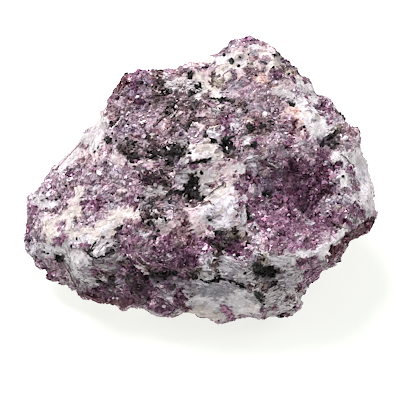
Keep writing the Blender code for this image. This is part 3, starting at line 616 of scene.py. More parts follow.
        ("shaded_deep", (182, 264, 6, 4), (182, 265, 5, 4)),
        ("ice", (139, 236, 5, 4)),
        ("plum", (134, 240), (158, 252, 6, 4), (170, 252), (182, 252), (194, 252)),
    ),
    "mica foot": (
        ("slate", (165, 286, 18, 6, -10), (193, 286, 8, 4), (193, 287, 8, 5), (186, 285, 9, 6)),
        ("ash", (194, 288, 6, 4)),
        ("violet", (163, 284, 6, 4)),
        ("plum", (155, 300, 9, 12, -10), (163, 311, 8, 6)),
        ("slate", (167, 295, 10, 4.5, -38)),
        ("deep", (170, 288, 6, 4, -20), (164, 303, 6, 3.5, -40)),
        ("lilac", (164, 289, 8, 3, -45), (171, 302, 6, 3, -30)),
        ("deep", (174, 308, 6, 4, 15)),
        ("plum", (181, 300, 6, 8)),
        ("grey", (175, 315, 7, 2.5, 30), (158, 316, 13, 2, -22)),
        ("rust", (186, 308, 4, 3)),
        ("deep", (180, 291, 4, 3)),
        # Painted glint: this white patch stands for a highlight on mica
        ("white", (188, 304, 2.4, 1.8)),
        ("wine", (182, 300)),
    ),
    "lower left foot": (
        ("rose", (55, 273, 9, 4, -10)),
        ("slate", (115, 280, 6, 7, -30)),
        ("deep", (138, 286, 15, 15)),
        ("violet", (124, 284, 6, 7)),
        ("plum", (95, 272, 6, 3.5), (118, 276, 7, 5), (126, 296, 12, 6)),
        ("ash", (82, 288, 9, 4)),
        ("grey", (78, 272, 12, 10, -20), (84, 280, 8, 4)),
        ("mauve", (50, 263, 8, 6, -20), (61, 269, 8, 4, -30)),
        ("black", (59, 259, 6, 4, -35), (113, 287, 4, 7), (138, 293, 6, 4)),
        ("ice", (67, 258, 3, 4), (94, 287, 5, 3)),
        ("deep", (124, 266, 11, 7), (75, 280, 7, 2.5, -52), (106, 290, 8, 6), (96, 293, 10, 4, -10)),
        ("rust", (59, 279, 12, 3, -8), (86, 296, 10, 3, -15), (128, 304, 13, 4), (104, 301, 14, 5, -8)),
        ("blush", (71, 280, 13, 1.6, -60)),
        ("chalk", (85, 272, 8, 7), (73, 275, 6, 6)),
        ("ash", (116, 262, 6, 3), (108, 274, 9, 6), (91, 280, 7, 4)),
        ("black", (98, 283, 3, 1.5)),
        ("grey", (90, 282, 7, 4)),
        ("umber", (122, 264, 5, 4), (130, 279, 8, 6), (139, 286, 8, 7), (143, 303, 5, 4)),
        ("deep", (146, 287, 8, 6), (109, 298, 9, 4), (146, 300, 6, 4)),
        ("shaded_deep", (134, 276), (145, 278, 6, 3, -20), (110, 288), (146, 288), (138, 290, 7, 6), (146, 300)),
        ("plum", (97, 275), (98, 276, 5, 5)),
        ("slate", (86, 275, 7, 5)),
        ("ash", (109, 276)),
        ("plum", (110, 276, 6, 4)),
        ("umber", (98, 276, 5, 4), (110, 276, 5, 4)),
    ),
    "left end": (
        ("violet", (27, 241, 4, 9), (38, 262, 11, 8, -40), (46, 272, 8, 4, -35)),
        ("cream", (52, 226, 15, 8)),
        ("ice", (42, 200, 12, 9, 30)),
        ("grey", (40, 199, 8, 5)),
        ("lilac", (47, 184, 7, 6), (40, 238, 8, 8)),
        ("pink", (56, 183, 8, 6, 30)),
        ("plum", (34, 209, 5, 7), (38, 257, 4, 3), (50, 276, 8, 5, -30)),
        ("mauve", (62, 198, 12, 13), (30, 219, 3.5, 8), (37, 229, 5, 3.5, 30), (38, 264, 6, 5, -40),
          (62, 276, 7, 3.5)),
        ("ash", (36, 237, 5, 2, -50)),
        ("plum", (53, 189, 5, 3), (26, 228, 4, 6), (49, 276, 8, 4, -30)),
        ("deep", (57, 199, 2.5, 2), (50, 276, 6, 4)),
        ("rose", (71, 183, 3, 8, 5), (50, 211, 6, 4)),
        ("lilac", (50, 192, 7, 5), (38, 203), (49, 205, 7, 6), (36, 224, 5, 7), (44, 249, 14, 6, -30),
          (40, 251, 7, 5), (38, 214), (38, 205, 5, 6)),
        ("mauve", (62, 192)),
        ("cream", (77, 187, 4, 12, 5), (76, 205, 8, 12), (66, 217, 13, 6, 20)),
        ("pink", (61, 225, 5, 5)),
        ("olive", (76, 217, 3, 4)),
        ("slate", (52, 252, 6, 4)),
        ("chalk", (38, 203, 5, 5), (50, 203, 7, 5), (50, 250, 7, 5)),
        ("grey", (38, 250, 8, 5)),
        ("ice", (50, 237, 7, 5), (34, 248, 5, 7), (46, 252, 6, 4)),
        ("cream", (50, 221, 10, 5), (47, 231, 7, 8)),
        ("plum", (34, 210, 5, 6)),
        ("rose", (50, 210, 5, 5)),
        ("milk", (50, 204, 6, 4)),
        ("blush", (50, 216, 6, 4)),
        ("slate", (38, 253, 5, 4)),
        ("magenta", (59, 241, 7, 3.5, 25), (65, 237, 4, 3, 45)),
    ),
    "left slope": (
        ("violet", (104, 166, 2, 4), (115, 173, 4, 4), (95, 183, 5, 3), (90, 192, 2.5, 2.5)),
        ("ice", (95, 188, 2, 4, -30), (113, 261, 3.5, 6, -45)),
        ("pink", (128, 173, 8, 6), (134, 180), (133, 184, 8, 6), (87, 216, 10, 5)),
        ("shaded_deep", (144, 180, 5, 5)),
        ("white", (86, 142, 42, 11, 52), (66, 156, 18, 8, 42), (123, 191, 1.6, 8)),
        ("mauve", (85, 144, 6, 6), (84, 160, 9, 4, 20), (62, 161, 12, 1.6, 50), (76, 166, 5, 3), (98, 180),
          (108, 192, 8, 8), (112, 240, 5, 5), (121, 250, 8, 8)),
        ("blush", (98, 155, 9, 7, 30), (118, 160, 10, 5, -20)),
        ("pink", (104, 151, 4, 7)),
        ("rose", (112, 112, 5, 10, 10), (85, 160, 7, 3.5, 20), (94, 170, 5, 4, 30)),
        ("lilac", (84, 143, 5, 5), (110, 180), (122, 192, 7, 6), (84, 226, 8, 6)),
        ("chalk", (101, 121, 9, 5, 60), (83, 143, 10, 7, 52), (94, 150, 5, 3, 50), (70, 157, 16, 6, 42),
          (80, 258, 12, 8), (93, 132, 14, 6, 55)),
        ("veil", (98, 128, 15, 8, 58), (71, 158, 16, 5.5, 44)),
        ("rose", (106, 110, 3, 5), (84, 146, 4, 3, 30)),
        ("grey", (96, 145, 4, 1.5, 60)),
        ("slate", (102, 198, 6, 3), (112, 203, 4, 6), (104, 264, 9, 3, 20)),
        ("deep", (109, 201, 4, 2)),
        ("ash", (117, 243, 4, 4), (97, 263, 8, 5), (110, 264, 6, 6)),
        ("cream", (125, 212, 18, 6.5, 8), (133, 213, 9, 6), (108, 225, 15, 10, 35), (86, 229),
          (73, 232, 8, 5), (97, 233, 11, 8), (110, 228, 9, 7, 30)),
        ("shell", (132, 213, 9, 5, 8), (97, 232, 8, 5, 20)),
        ("taupe", (114, 110, 5, 5), (110, 108, 5, 6)),
        ("white", (98, 144, 5, 6, 50), (83, 240, 8, 4), (101, 248, 5, 8, -40), (79, 259, 8, 5)),
        ("veil", (90, 136, 10, 5, 50)),
        ("chalk", (86, 264)),
        ("umber", (133, 156, 8, 5), (146, 180, 8, 6), (146, 216)),
        ("speckle", (155, 222, 11, 5)),
        ("pepper", (146, 208, 5, 7)),
        ("slate", (146, 204, 5, 5)),
        ("black", (133, 157, 6, 3), (134, 157, 5, 2, 10), (138, 158, 6, 2), (152, 183, 3, 2),
          (109, 250, 6, 4, 10), (109, 251, 5, 3)),
        ("shaded_deep", (134, 156, 5, 4), (146, 180, 5, 5), (158, 180, 6, 4)),
        ("magenta", (88, 205, 8, 7), (62, 238, 5, 3.5, 40), (86, 246, 4, 3)),
        ("taupe", (146, 228)),
        ("painted_light_white", (62, 168, 5, 4), (110, 228, 9, 6, 30), (110, 228, 7, 7)),
        ("mauve", (122, 108), (146, 156), (86, 215, 8, 5), (122, 228)),
        ("taupe", (146, 156, 5, 5)),
        ("umber", (135, 152, 7, 4), (134, 155), (131, 160, 4, 2.5), (146, 216, 5, 5), (158, 216, 5, 4)),
        ("black", (135, 155, 6, 4), (155, 155, 4, 2.5)),
        ("plum", (77, 172, 6, 4, 30), (84, 184, 4, 3, -20), (96, 204, 9, 6.5), (134, 204), (125, 231, 5, 5),
          (56, 242, 6, 4), (122, 252)),
        ("wine", (96, 203, 5, 4)),
        ("magenta", (86, 203, 5, 4)),
        ("cream", (74, 213, 5, 5), (112, 225, 8, 5, 35), (49, 238, 4, 6)),
        ("ash", (146, 205, 5, 5)),
        ("mauve", (86, 181, 5, 4)),
        ("lilac", (109, 133, 4, 5), (70, 176, 9, 6, 20), (86, 217, 7, 4), (74, 246, 7, 5), (74, 167, 6, 4)),
        ("plum", (68, 176, 9, 3, 25)),
        ("milk", (62, 168, 7, 3, 44), (120, 190, 2.5, 2), (111, 232, 6, 4, 50), (85, 239, 6, 3.5)),
        ("lilac", (62, 180, 7, 6)),
        ("cream", (113, 229, 5, 6, 55)),
        ("mauve", (74, 181), (86, 250, 7, 4)),
        ("white", (62, 168, 5, 4, 45), (96, 246, 5, 8, -40), (74, 252), (62, 167, 5, 4)),
        ("painted_light_white", (110, 226, 6, 4, 35)),
        ("blush", (86, 154, 6, 4), (98, 156), (122, 191, 5, 3), (74, 204, 5, 4)),
        ("grey", (110, 241, 6, 4), (110, 249, 5, 4)),
        ("ash", (110, 252, 6, 4)),
    ),
}
PATCHES = [(name, Patch(*place)) for rows in AREAS.values() for name, *places in rows for place in places]

# Creases that the eye sees: half width in steps of the picture and depth in mm of the crease itself, how
# far the surface is lifted on its upper side and let down on its lower side, over how many steps, and the
# places that it runs through from left to right
Crease = namedtuple("Crease", "half_width depth lift drop reach places")
CREASES = (
    Crease(2.0, 0.45, 0.45, 0.60, 9,
        ((134, 268), (139, 274), (145, 276), (160, 276), (168, 272), (180, 276))
    ),
    Crease(1.5, 0.10, 0.30, 0.40, 6, ((127, 257), (131, 262), (137, 268), (143, 272))),
    Crease(1.5, 0.20, -0.30, -0.15, 6, ((108, 131), (114, 127), (120, 120), (127, 115), (130, 111))),
    Crease(1.6, 0.40, 0.10, -0.15, 6,
        ((198, 280), (212, 283), (220, 280), (232, 282), (241, 288), (248, 290))
    ),
    Crease(1.8, 0.40, 0.20, 0.00, 6, ((320, 148), (325, 143), (331, 137), (339, 131))),
    Crease(1.8, 0.35, 0.10, 0.00, 5, ((84, 250), (90, 257), (96, 259), (104, 257), (110, 253))),
    Crease(2.2, 0.40, -0.25, 0.00, 5, ((62, 262), (66, 268), (72, 279), (76, 289))),
    Crease(1.6, 0.30, 0.15, 0.00, 5,
        ((120, 149), (127, 155), (133, 159), (142, 157), (150, 158), (161, 154))
    ),
    Crease(1.6, 0.30, 0.20, 0.00, 6, ((208, 97), (222, 100), (235, 102), (246, 107))),
    Crease(1.5, 0.30, 0.15, 0.00, 5, ((188, 165), (200, 162), (212, 159))),
    Crease(1.5, 0.25, 0.15, 0.00, 5, ((153, 128), (160, 120), (166, 116), (176, 110))),
    Crease(1.3, 0.15, 0.10, 0.10, 5, ((248, 46), (258, 50), (268, 51), (280, 56))),
    Crease(1.6, 0.30, 0.10, 0.20, 6, ((328, 217), (334, 223), (342, 229))),
    Crease(1.5, 0.25, 0.20, 0.10, 5, ((256, 157), (264, 163), (275, 170))),
    Crease(1.4, 0.20, 0.10, 0.10, 5, ((201, 205), (207, 203), (213, 206))),
    Crease(2.4, 0.45, 0.10, 0.10, 6, ((250, 288), (256, 295), (264, 306))),
    Crease(2.0, 0.35, 0.15, 0.20, 6, ((205, 240), (216, 246), (228, 250), (240, 258))),
    Crease(2.0, 0.40, 0.15, 0.15, 6, ((156, 288), (163, 296), (170, 305))),
    Crease(1.6, 0.30, 0.10, 0.20, 6, ((330, 247), (340, 241), (352, 231), (362, 224), (376, 217))),
    Crease(2.0, 0.35, 0.20, 0.10, 6, ((204, 143), (214, 142), (224, 141), (234, 146))),
)

# Broad lumps and hollows: (across, down, radius) in steps of the picture, and how far they stand out in mm.
# They begin and are whole where the surface faces the eye this much, as the cosine of the angle.
SWELL_FACING = (-0.85, -0.35)
SWELLS = (
    (290, 62, 18, -1.9), (303, 71, 8, -0.8), (44, 274, 10, -0.4), (312, 84, 7, 0.3), (364, 168, 12, 0.1),
    (343, 262, 8, -0.6), (303, 300, 9, -0.5), (34, 267, 14, 0.7), (80, 294, 15, 0.7), (107, 96, 11, 0.6),
    (118, 76, 10, 0.5), (186, 66, 14, 0.5), (318, 278, 9, 0.8), (344, 118, 8, 0.5), (222, 48, 10, -0.5),
    (228, 77, 6, 0.3), (137, 88, 12, 0.3), (160, 86, 7, -0.4), (226, 146, 9, -0.5), (172, 152, 14, -0.3),
    (230, 208, 16, 0.5), (198, 220, 12, 0.3), (350, 140, 11, 0.5), (272, 273, 12, -0.5),
    (225, 268, 12, 0.3), (138, 286, 13, -0.7), (178, 300, 14, 0.4), (115, 280, 9, 0.3), (105, 289, 9, -0.4),
    (92, 204, 10, 0.3), (60, 258, 7, -0.5), (178, 168, 7, 0.4), (132, 198, 9, 0.3), (188, 262, 10, -0.4),
    (148, 252, 14, 0.4), (229, 240, 14, -0.5), (252, 196, 9, 0.3), (290, 176, 20, -0.5),
    (268, 196, 7, -0.4), (344, 214, 12, 0.3), (304, 262, 10, 0.3), (262, 128, 10, -0.3), (208, 134, 8, 0.3),
    (190, 185, 11, -0.3), (126, 78, 10, 0.6), (180, 66, 10, 0.5), (105, 114, 8, 0.7), (104, 122, 6, 0.5),
    (50, 277, 8, 0.7), (80, 296, 10, 0.5), (102, 303, 14, 0.6), (122, 308, 9, 0.5), (215, 320, 14, 0.4),
    (262, 318, 14, 0.4), (318, 277, 8, 0.6), (356, 237, 7, 0.3), (272, 46, 8, 0.5), (332, 268, 7, -0.5),
    (66, 286, 6, -0.4), (362, 148, 12, 0.3), (344, 256, 6, -0.6), (284, 56, 9, -0.5), (356, 130, 7, 0.4),
    (175, 318, 8, -0.3), (142, 312, 8, -0.4), (130, 73, 9, 0.7), (211, 57, 5, 0.4), (103, 113, 6, 0.4),
    (318, 94, 8, -0.6), (311, 93, 5, -0.5), (314, 284, 10, 0.6), (303, 300, 7, -0.5), (337, 264, 7, -0.5),
    (29, 257, 7, 0.5), (41, 271, 7, 0.8), (57, 284, 7, -0.5), (199, 318, 9, 0.5), (124, 309, 8, 0.5),
    (70, 291, 7, 0.4), (352, 240, 6, 0.4), (227, 43, 6, -0.5), (84, 129, 7, -0.9), (44, 273, 6, 0.7),
    (136, 71, 11, 0.7), (118, 74, 7, -0.4), (354, 124, 7, -0.7), (303, 299, 6, -0.4),
)

# Thin lines in the surface: (mineral, half width, places), in steps of the picture. Dark lines that run
# along creases are partly dark grains and partly painted shade in them.
LINES = (
    ("black", 0.8, ((84, 250), (90, 257), (96, 259), (104, 257), (110, 253))),
    ("black", 0.7, ((121, 150), (127, 155), (133, 159), (142, 157), (150, 158), (160, 154))),
    ("black", 0.7, (
        (200, 280), (205, 283), (212, 283), (220, 280), (232, 282), (237, 284), (241, 288), (247, 289),
    )),
    ("black", 0.8, ((210, 98), (222, 100), (235, 102))),
    ("black", 0.8, ((190, 164), (200, 162), (211, 159))),
    ("umber", 0.7, ((155, 126), (160, 120), (166, 116), (175, 110))),
    ("umber", 0.6, ((150, 141), (154, 138), (158, 135))),
    ("umber", 0.3, ((210, 194), (215, 190), (225, 183), (226, 188))),
    ("umber", 0.5, ((200, 205), (208, 202), (214, 206))),
    ("umber", 0.6, ((260, 160), (268, 165), (275, 170))),
    ("umber", 0.7, ((331, 221), (336, 225), (341, 228))),
    ("umber", 0.6, ((66, 267), (72, 279), (76, 288))),
    ("umber", 0.5, ((186, 229), (192, 225))),
    ("mauve", 0.5, ((81, 142), (73, 151), (63, 162), (53, 172), (46, 178))),
    ("black", 0.9, ((247, 205), (247, 212), (249, 218), (252, 221))),
    ("plum", 0.5, ((172, 236), (172, 243), (176, 249), (183, 251), (190, 247), (193, 239))),
    ("lilac", 0.6, ((139, 256), (145, 262), (152, 266))),
    ("umber", 0.5, ((136, 259), (142, 265), (150, 269))),
    ("ash", 0.5, ((340, 154), (346, 158), (350, 164))),
    ("ash", 0.6, ((258, 278), (266, 281), (276, 281), (284, 278))),
    ("ash", 0.5, ((206, 262), (210, 268), (209, 276))),
    ("black", 0.8, ((122, 226), (119, 231), (114, 238))),
    ("chalk", 0.7, ((131, 262), (137, 268), (143, 272), (149, 274))),
    ("chalk", 0.5, ((137, 262), (141, 265), (145, 268))),
    ("white", 0.9, ((110, 130), (114, 127), (120, 120), (127, 115), (129, 112))),
    # Painted shadow: this dark line runs beside the white edge line
    ("umber", 0.8, ((109, 127), (113, 124), (119, 117))),
    ("umber", 0.9, ((208, 81), (213, 85), (219, 88))),
    ("umber", 0.8, ((251, 81), (247, 85), (243, 87))),
    ("taupe", 0.4, ((223, 79), (224, 74), (229, 71), (233, 73), (234, 78))),
    ("chalk", 0.7, ((222, 257), (230, 262), (238, 266), (246, 270))),
    ("chalk", 0.5, ((224, 263), (232, 267), (240, 272))),
    ("white", 0.8, ((323, 137), (328, 134), (334, 131))),
    ("white", 0.8, ((164, 74), (167, 79))),
    ("white", 0.6, ((170, 118), (174, 115), (177, 112))),
    # Painted glint: this short white line stands for a highlight
    ("white", 0.8, ((151, 217), (154, 211))),
    ("white", 0.6, ((268, 163), (273, 166), (277, 169))),
    ("cream", 0.8, ((210, 129), (215, 127), (219, 124))),
    ("chalk", 0.7, ((97, 255), (102, 247), (108, 241))),
    ("chalk", 0.7, ((92, 250), (96, 245), (100, 240))),
    ("chalk", 0.7, ((66, 264), (71, 272), (78, 286))),
)

# Small grains in the surface, mineral by mineral, given as patches. The white ones are painted glints, pale
# grains that stand for highlights on mica.
SPOTS = {
    "black": (
        (231.5, 61, 3.2, 2.4, 75), (240, 57, 1.2, 1), (238.5, 66, 1.5, 1.2, 30), (208, 67, 1.5, 1.1, 20),
        (274.5, 55, 2.8, 1.1, -10), (263.5, 62.5, 4, 0.9, -22), (224, 54.5, 2.2, 1.6, 50),
        (289, 74, 1.2, 1), (273, 67, 1.3, 0.8, 40), (275, 72, 1.3, 1), (190, 77, 1.9, 1.3),
        (179, 77, 1.1, 0.8), (178, 121, 1.2, 1), (174, 117, 1.2, 0.9), (289.5, 103, 1.5, 2.4, 20),
        (293, 106, 1.6, 1.3), (304, 127, 1.6, 1.4), (245, 274, 1.8, 1.6), (209.5, 220.5, 2, 1.5, 20),
        (184, 197, 1.1, 0.9), (66, 186, 1.3, 1), (43, 193, 1.2, 1), (47.5, 198.5, 1.3, 1),
        (60, 197, 1.2, 1), (56, 200, 1.6, 1), (28.5, 240, 1.3, 2.2), (36, 233, 1.1, 1), (41, 242, 1.2, 1),
        (71, 246.5, 1, 2.6, 20), (76.8, 239.5, 0.8, 1.8), (36, 257, 1.1, 1), (44, 252, 1.1, 0.9),
        (48, 253.5, 1.2, 0.9), (112, 127, 1.3, 1.1), (112, 134, 1.2, 1), (116, 141, 1.2, 1),
        (123, 126, 1, 0.8), (128, 125, 1, 0.8), (132, 131, 1.1, 0.9), (132, 136, 1.1, 0.9),
        (187, 132, 1.2, 1), (180, 135, 1.1, 0.9), (158, 231.5, 2, 1.4, 20), (155.5, 238, 1.4, 2),
        (247, 234, 1, 2), (248, 244, 1.7, 1.7), (339.5, 195, 1.7, 0.9), (158, 283, 1.5, 1.2),
        (174.5, 287, 1.3, 2.8), (343, 177, 1.4, 1.2), (318, 265, 1.3, 1.1), (308, 271, 1.3, 1),
        (333, 149, 1.4, 1), (256.5, 294, 4.8, 1.4, -56), (259, 297.5, 5, 1.4, -56),
        (261.5, 301, 4.4, 1.3, -54), (257.5, 298.5, 4, 1.2, -54), (98.5, 282.5, 2.6, 1.1),
        (115, 247, 1.2, 1), (112, 251, 2.6, 1.6), (90, 252, 3.6, 1.2, 55), (95, 152, 1.6, 0.6, 60),
        (98, 148, 1.6, 0.6, 60), (260, 268.5, 4.6, 1.4, -14), (264, 270.5, 5, 1.4, -14),
        (261, 272, 4.8, 1.4, -10), (267, 273.5, 4.6, 1.4, -14), (256, 270.5, 3, 1.6),
        (242, 285, 2.4, 1.4, -30), (119, 243, 1.4, 1), (255, 228, 1.2, 1), (291, 299, 1.3, 1),
        (296, 301, 1.3, 1), (141, 220, 1.6, 2.4, -30), (150, 204, 2.6, 1.8), (170, 203, 2, 2.6, 20),
        (60, 259, 4.4, 2.8, -35), (236, 232, 3, 1, -20), (196, 87, 2.2, 2.6, 30), (190, 94, 2.4, 1.8, 40),
        (176, 94, 1.6, 2), (224.5, 140, 4.4, 3, 75), (223, 147, 3.6, 3.2), (227, 152, 3.6, 2.4, -60),
        (232, 145, 3.4, 1, 70), (231, 138, 4, 1, 20), (213, 140, 4.4, 1.3, -15), (206, 134.5, 3, 0.7, -80),
        (249, 126.5, 4.2, 2), (250, 131, 2.2, 1.4, 90), (262, 125.5, 5.6, 3.2, -5),
        (271, 121.5, 3.4, 1, 12), (254, 144.5, 3.4, 2, 25), (248, 147.5, 2.6, 1, 20), (240, 151.5, 1.3, 1),
        (243.5, 151.5, 0.9, 1.3), (239, 156.5, 1, 1.6, 20), (285.5, 135, 1, 1.6), (94, 246, 4.2, 1.5, 52),
        (91, 251, 3.4, 2.2, 40), (164, 84, 3, 2.6), (147, 85, 2.6, 1.4), (336, 145, 3.4, 2.6, 30),
        (330, 138, 3.6, 1.2, 60), (334, 133, 3.2, 1.4, 60), (323, 144, 3.6, 1, 85), (329, 145, 1.6, 1.2),
        (193, 183, 6, 4.6, 40), (197, 178, 4, 3.4), (172, 193, 5.4, 2, 5), (188, 193, 5.4, 3.2, 20),
        (200, 197, 6, 3.4), (343, 115, 4.4, 2.4, -48),
    ),
    # Painted highlights: these white grains stand for glints on mica faces
    "white": (
        (151, 74, 1.3, 1.1), (137, 97, 2, 1.6, 20), (174, 93, 1.3, 1.1), (197, 97, 1.3, 1),
        (181, 100, 1.2, 1), (148, 116, 1.1, 0.9), (143, 118, 1.1, 0.9), (141, 123, 1.2, 0.9),
        (168, 149, 2.4, 1, -45), (183, 189.5, 1, 2, -20), (195, 189, 1, 1.3), (241, 186, 1.2, 1.1),
        (253.5, 216, 1.4, 1.1), (265, 217, 1.3, 1.1), (288.5, 216, 1.6, 1.3), (268, 241, 1.3, 1.1),
        (282, 246.5, 1.4, 1.1), (296, 236.5, 1.2, 1), (301, 235.5, 1.2, 1), (316, 190, 1.3, 1.1),
        (331, 184, 1.8, 1.8, 20), (338.5, 178, 2.6, 1.8, 20), (340, 198, 2.8, 1.7, -10),
        (346, 138.5, 2.8, 2.3), (326, 162, 1.5, 1.2), (272, 265, 1.4, 1.1), (257, 157, 1.2, 1),
        (263, 158, 2, 1.2, 40), (253, 167, 1.2, 1), (265, 114, 2.6, 1.6, -40), (286, 134, 1.4, 1.1),
        (129, 227, 1.2, 1.1), (202, 255, 1.3, 1.1), (234.5, 256, 1.3, 1.3), (61, 254, 1.5, 1),
        (54, 275, 1.3, 1), (113.5, 298, 1.2, 1), (164, 306.5, 1.8, 1.3), (187.5, 303, 2.2, 1.6),
        (257, 306.5, 2.6, 2.4), (227, 149.5, 1, 1.8), (238, 126, 2, 2.4), (163, 79, 1.1, 0.9),
        (308, 263, 1.1, 1.3), (152, 191, 1.6, 1.3), (296, 147, 2, 1.4), (222, 228, 1.6, 1),
        (138, 212, 1.4, 0.9),
    ),
    "plum": (
        (157.5, 165, 1.8, 1.2), (145.5, 167.5, 1.8, 1.1), (97.5, 216, 1.2, 1.8),
        (55.5, 241.5, 1.8, 1.6, 20), (63, 236.5, 2, 1.3, 45), (211, 229.5, 1.8, 1.5),
        (234.5, 162.5, 1.8, 1.5), (53, 274, 1.8, 1.5), (94.5, 169, 1.6, 1.8), (193, 143, 1.6, 1.3),
        (225, 308, 2.6, 1.6, -45), (229, 312, 2.6, 1.6, -45), (232, 316, 1.6, 1.2), (275, 309, 1.8, 1.4),
        (264, 316.5, 1.4, 1.6), (285, 315, 1.4, 1.2), (279, 315, 0.9, 0.9), (273, 316, 0.9, 0.9),
        (310, 258, 1.6, 1), (331, 215.5, 1, 2),
    ),
    "deep": (
        (95.5, 202.5, 1.6, 2.4), (357, 190, 2.6, 1.2), (94, 272, 3.6, 2.6), (110.5, 265.5, 2, 1.8),
        (60, 245, 2, 1.2), (32, 219, 1.2, 1.2), (254, 43, 1.4, 0.9), (243, 94, 1.2, 1.2), (254, 96, 1, 1.4),
        (306, 97, 2.4, 1.2, -35), (88, 190, 1.2, 1), (92, 183, 1.2, 1), (103.5, 185, 1.8, 1.2),
        (99.5, 197, 3, 1.4), (104.5, 165.5, 1.2, 2), (133, 203.5, 4.4, 1.1), (331, 119, 1.3, 1.1),
        (331, 123, 1.1, 1.1), (126, 163, 1, 1.6), (136, 161.5, 1.3, 1.3),
    ),
}

# How far the edges of patches wander: (size in mm, distance in steps of the picture) of each scale of it.
# Patches whose half width is below this many steps wander less, in proportion, and follow the grains less.
WANDER = ((6.0, 4.0), (2.2, 3.2), (0.9, 2.0))
WANDER_FULLY = 9.0
# How far a single grain strays from its place, in steps of the picture, and its draw after those of the
# wandering
STRAY = 3.0
STRAY_DRAW = 5
# The furthest that all of this can take a grain, and its own half size
WANDER_MOST = 16.0
# A patch is whole inside this share of its size and gone beyond the other. Between them it holds only some
# grains: those whose chance, over this span from the least amount that counts, is below the amount of the
# patch there.
PATCH_WHOLE = 0.78
PATCH_GONE = 1.22
LEAST_AMOUNT = 0.02
AMOUNT_SPAN = 0.96
# Where the surface turns away from the eye, as the cosine of the angle, the patches end and the seeded ones
# begin
SEEN_FULLY = 0.02
SEEN_NOT = -0.3

# Seeded patches of the other sides, from broad to small: how many, their half lengths from and to in mm,
# and the minerals with their weights
Hidden = namedtuple("Hidden", "count shortest longest minerals")
HIDDEN = (
    Hidden(46, 6.0, 13.0, {
        "mauve": 4, "lilac": 4, "plum": 5, "deep": 1, "white": 2, "milk": 2, "cream": 2, "shell": 1,
        "ice": 3, "blush": 2, "grey": 3, "quartz": 2,
    }),
    Hidden(200, 1.8, 5.0, {
        "mauve": 4, "lilac": 5, "violet": 4, "plum": 5, "deep": 3, "magenta": 4, "pink": 4, "rose": 3,
        "rust": 2, "white": 5, "cream": 5, "blush": 4, "peach": 1, "ice": 5, "grey": 4, "slate": 4, "ash": 2,
        "speckle": 4, "pepper": 3, "umber": 3, "black": 4, "tan": 2, "olive": 1, "quartz": 1, "smoke": 1,
    }),
    Hidden(520, 0.5, 1.6, {
        "black": 7, "umber": 4, "pepper": 3, "deep": 4, "magenta": 3, "plum": 4, "violet": 3, "rose": 3,
        "rust": 1, "white": 4, "cream": 3, "ice": 3, "slate": 2, "ash": 2,
    }),
)
HIDDEN_GROUND = "mauve"
HIDDEN_SEED = 41
# The way that most of them are drawn out, how much they stray from it, and how wide they are as a share of
# their length
HIDDEN_WAY = np.array((1.0, 0.2, -0.5))
HIDDEN_SPREAD = 0.7
HIDDEN_WIDTH = (0.3, 0.9)

# Draws of the hashes, so that no two uses of chance are alike. A seen patch has its own from its place in
# the picture.
SEEN_WANDER_DRAWS = (10, 20)
HIDDEN_WANDER_DRAWS = (70, 80, 90)
HIDDEN_DRAW = 1000
SEEN_DRAW = 4000
SEEN_DRAW_ACROSS = 7
SEEN_DRAW_DOWN = 3
CREASE_DRAWS = (150, 151)
GRAIN_DRAW = 160
GRAIN_TONE_DRAW = 170
PIECE_TONE_DRAW = 180
CLUMP_DRAW = 190
CLUMP_TONE_DRAW = 195


def smooth_share(value, start, end):
    """0 at start, 1 at end, and smooth between them."""
    share = np.clip((value - start) / (end - start), 0.0, 1.0)
    return share * share * (3.0 - 2.0 * share)


def hashed(cells, draw):
    """A repeatable random number from 0 to 1 for each whole-numbered cell, mixed with large primes."""
    x, y, z = np.moveaxis(cells.astype(np.int64), -1, 0)
    mixed = x * 73856093 ^ y * 19349663 ^ z * 83492791 ^ (draw + 1) * 50331653
    mixed = (mixed ^ (mixed >> 13)) * 1274126177 & 0xFFFFFFFF
    mixed = (mixed ^ (mixed >> 15)) * 668265263 & 0xFFFFFFFF
    return ((mixed ^ (mixed >> 16)) & 0xFFFF) / 65535.0


def noise_at(points, size, draw=0):
    """Smooth noise from -1 to 1, with lumps of this size."""
    scaled = points / size
    cell = np.floor(scaled)
    part = scaled - cell
    part = part * part * (3.0 - 2.0 * part)
    total = np.zeros(len(points))
    for corner in np.ndindex(2, 2, 2):
        corner = np.array(corner)
        weight = np.prod(np.where(corner, part, 1.0 - part), axis=1)
        total += weight * hashed(cell + corner, draw)
    return 2.0 * total - 1.0


def grains_at(points, size, draw=0):
    """The grain that holds each point: its seed point, its cell, and the point's distance from its edge."""
    scaled = points / size
    home = np.floor(scaled)
    nearest = np.full(len(points), np.inf)
    second = np.full(len(points), np.inf)
    seed = np.zeros_like(points)
    cell_of_seed = np.zeros_like(points)
    for step in np.ndindex(3, 3, 3):
        cell = home + (np.array(step) - 1)
        place = cell + np.stack([hashed(cell, draw + axis) for axis in range(3)], axis=1)
        distance = np.linalg.norm(scaled - place, axis=1)
        closer = distance < nearest
        second = np.where(closer, nearest, np.minimum(second, distance))
        nearest = np.where(closer, distance, nearest)
        seed[closer] = place[closer]
        cell_of_seed[closer] = cell[closer]
    return seed * size, cell_of_seed, (second - nearest) * size


def seen_at(points):
    """Where the eye sees these points in the picture, as (across, down) in its steps."""
    from_middle = points - MIDDLE
    nearer = EYE_DISTANCE / (EYE_DISTANCE - from_middle @ OUT) / PICTURE_STEP
    across = MIDDLE_SEEN[0] + from_middle @ RIGHT * nearer
    down = MIDDLE_SEEN[1] - from_middle @ UP * nearer
    return np.stack((across, down), axis=1)


def linear(colour):
    """sRGB values from 0 to 255 as linear light."""
    share = np.asarray(colour, float) / 255.0
    return np.where(share <= 0.04045, share / 12.92, ((share + 0.055) / 1.055) ** 2.4)


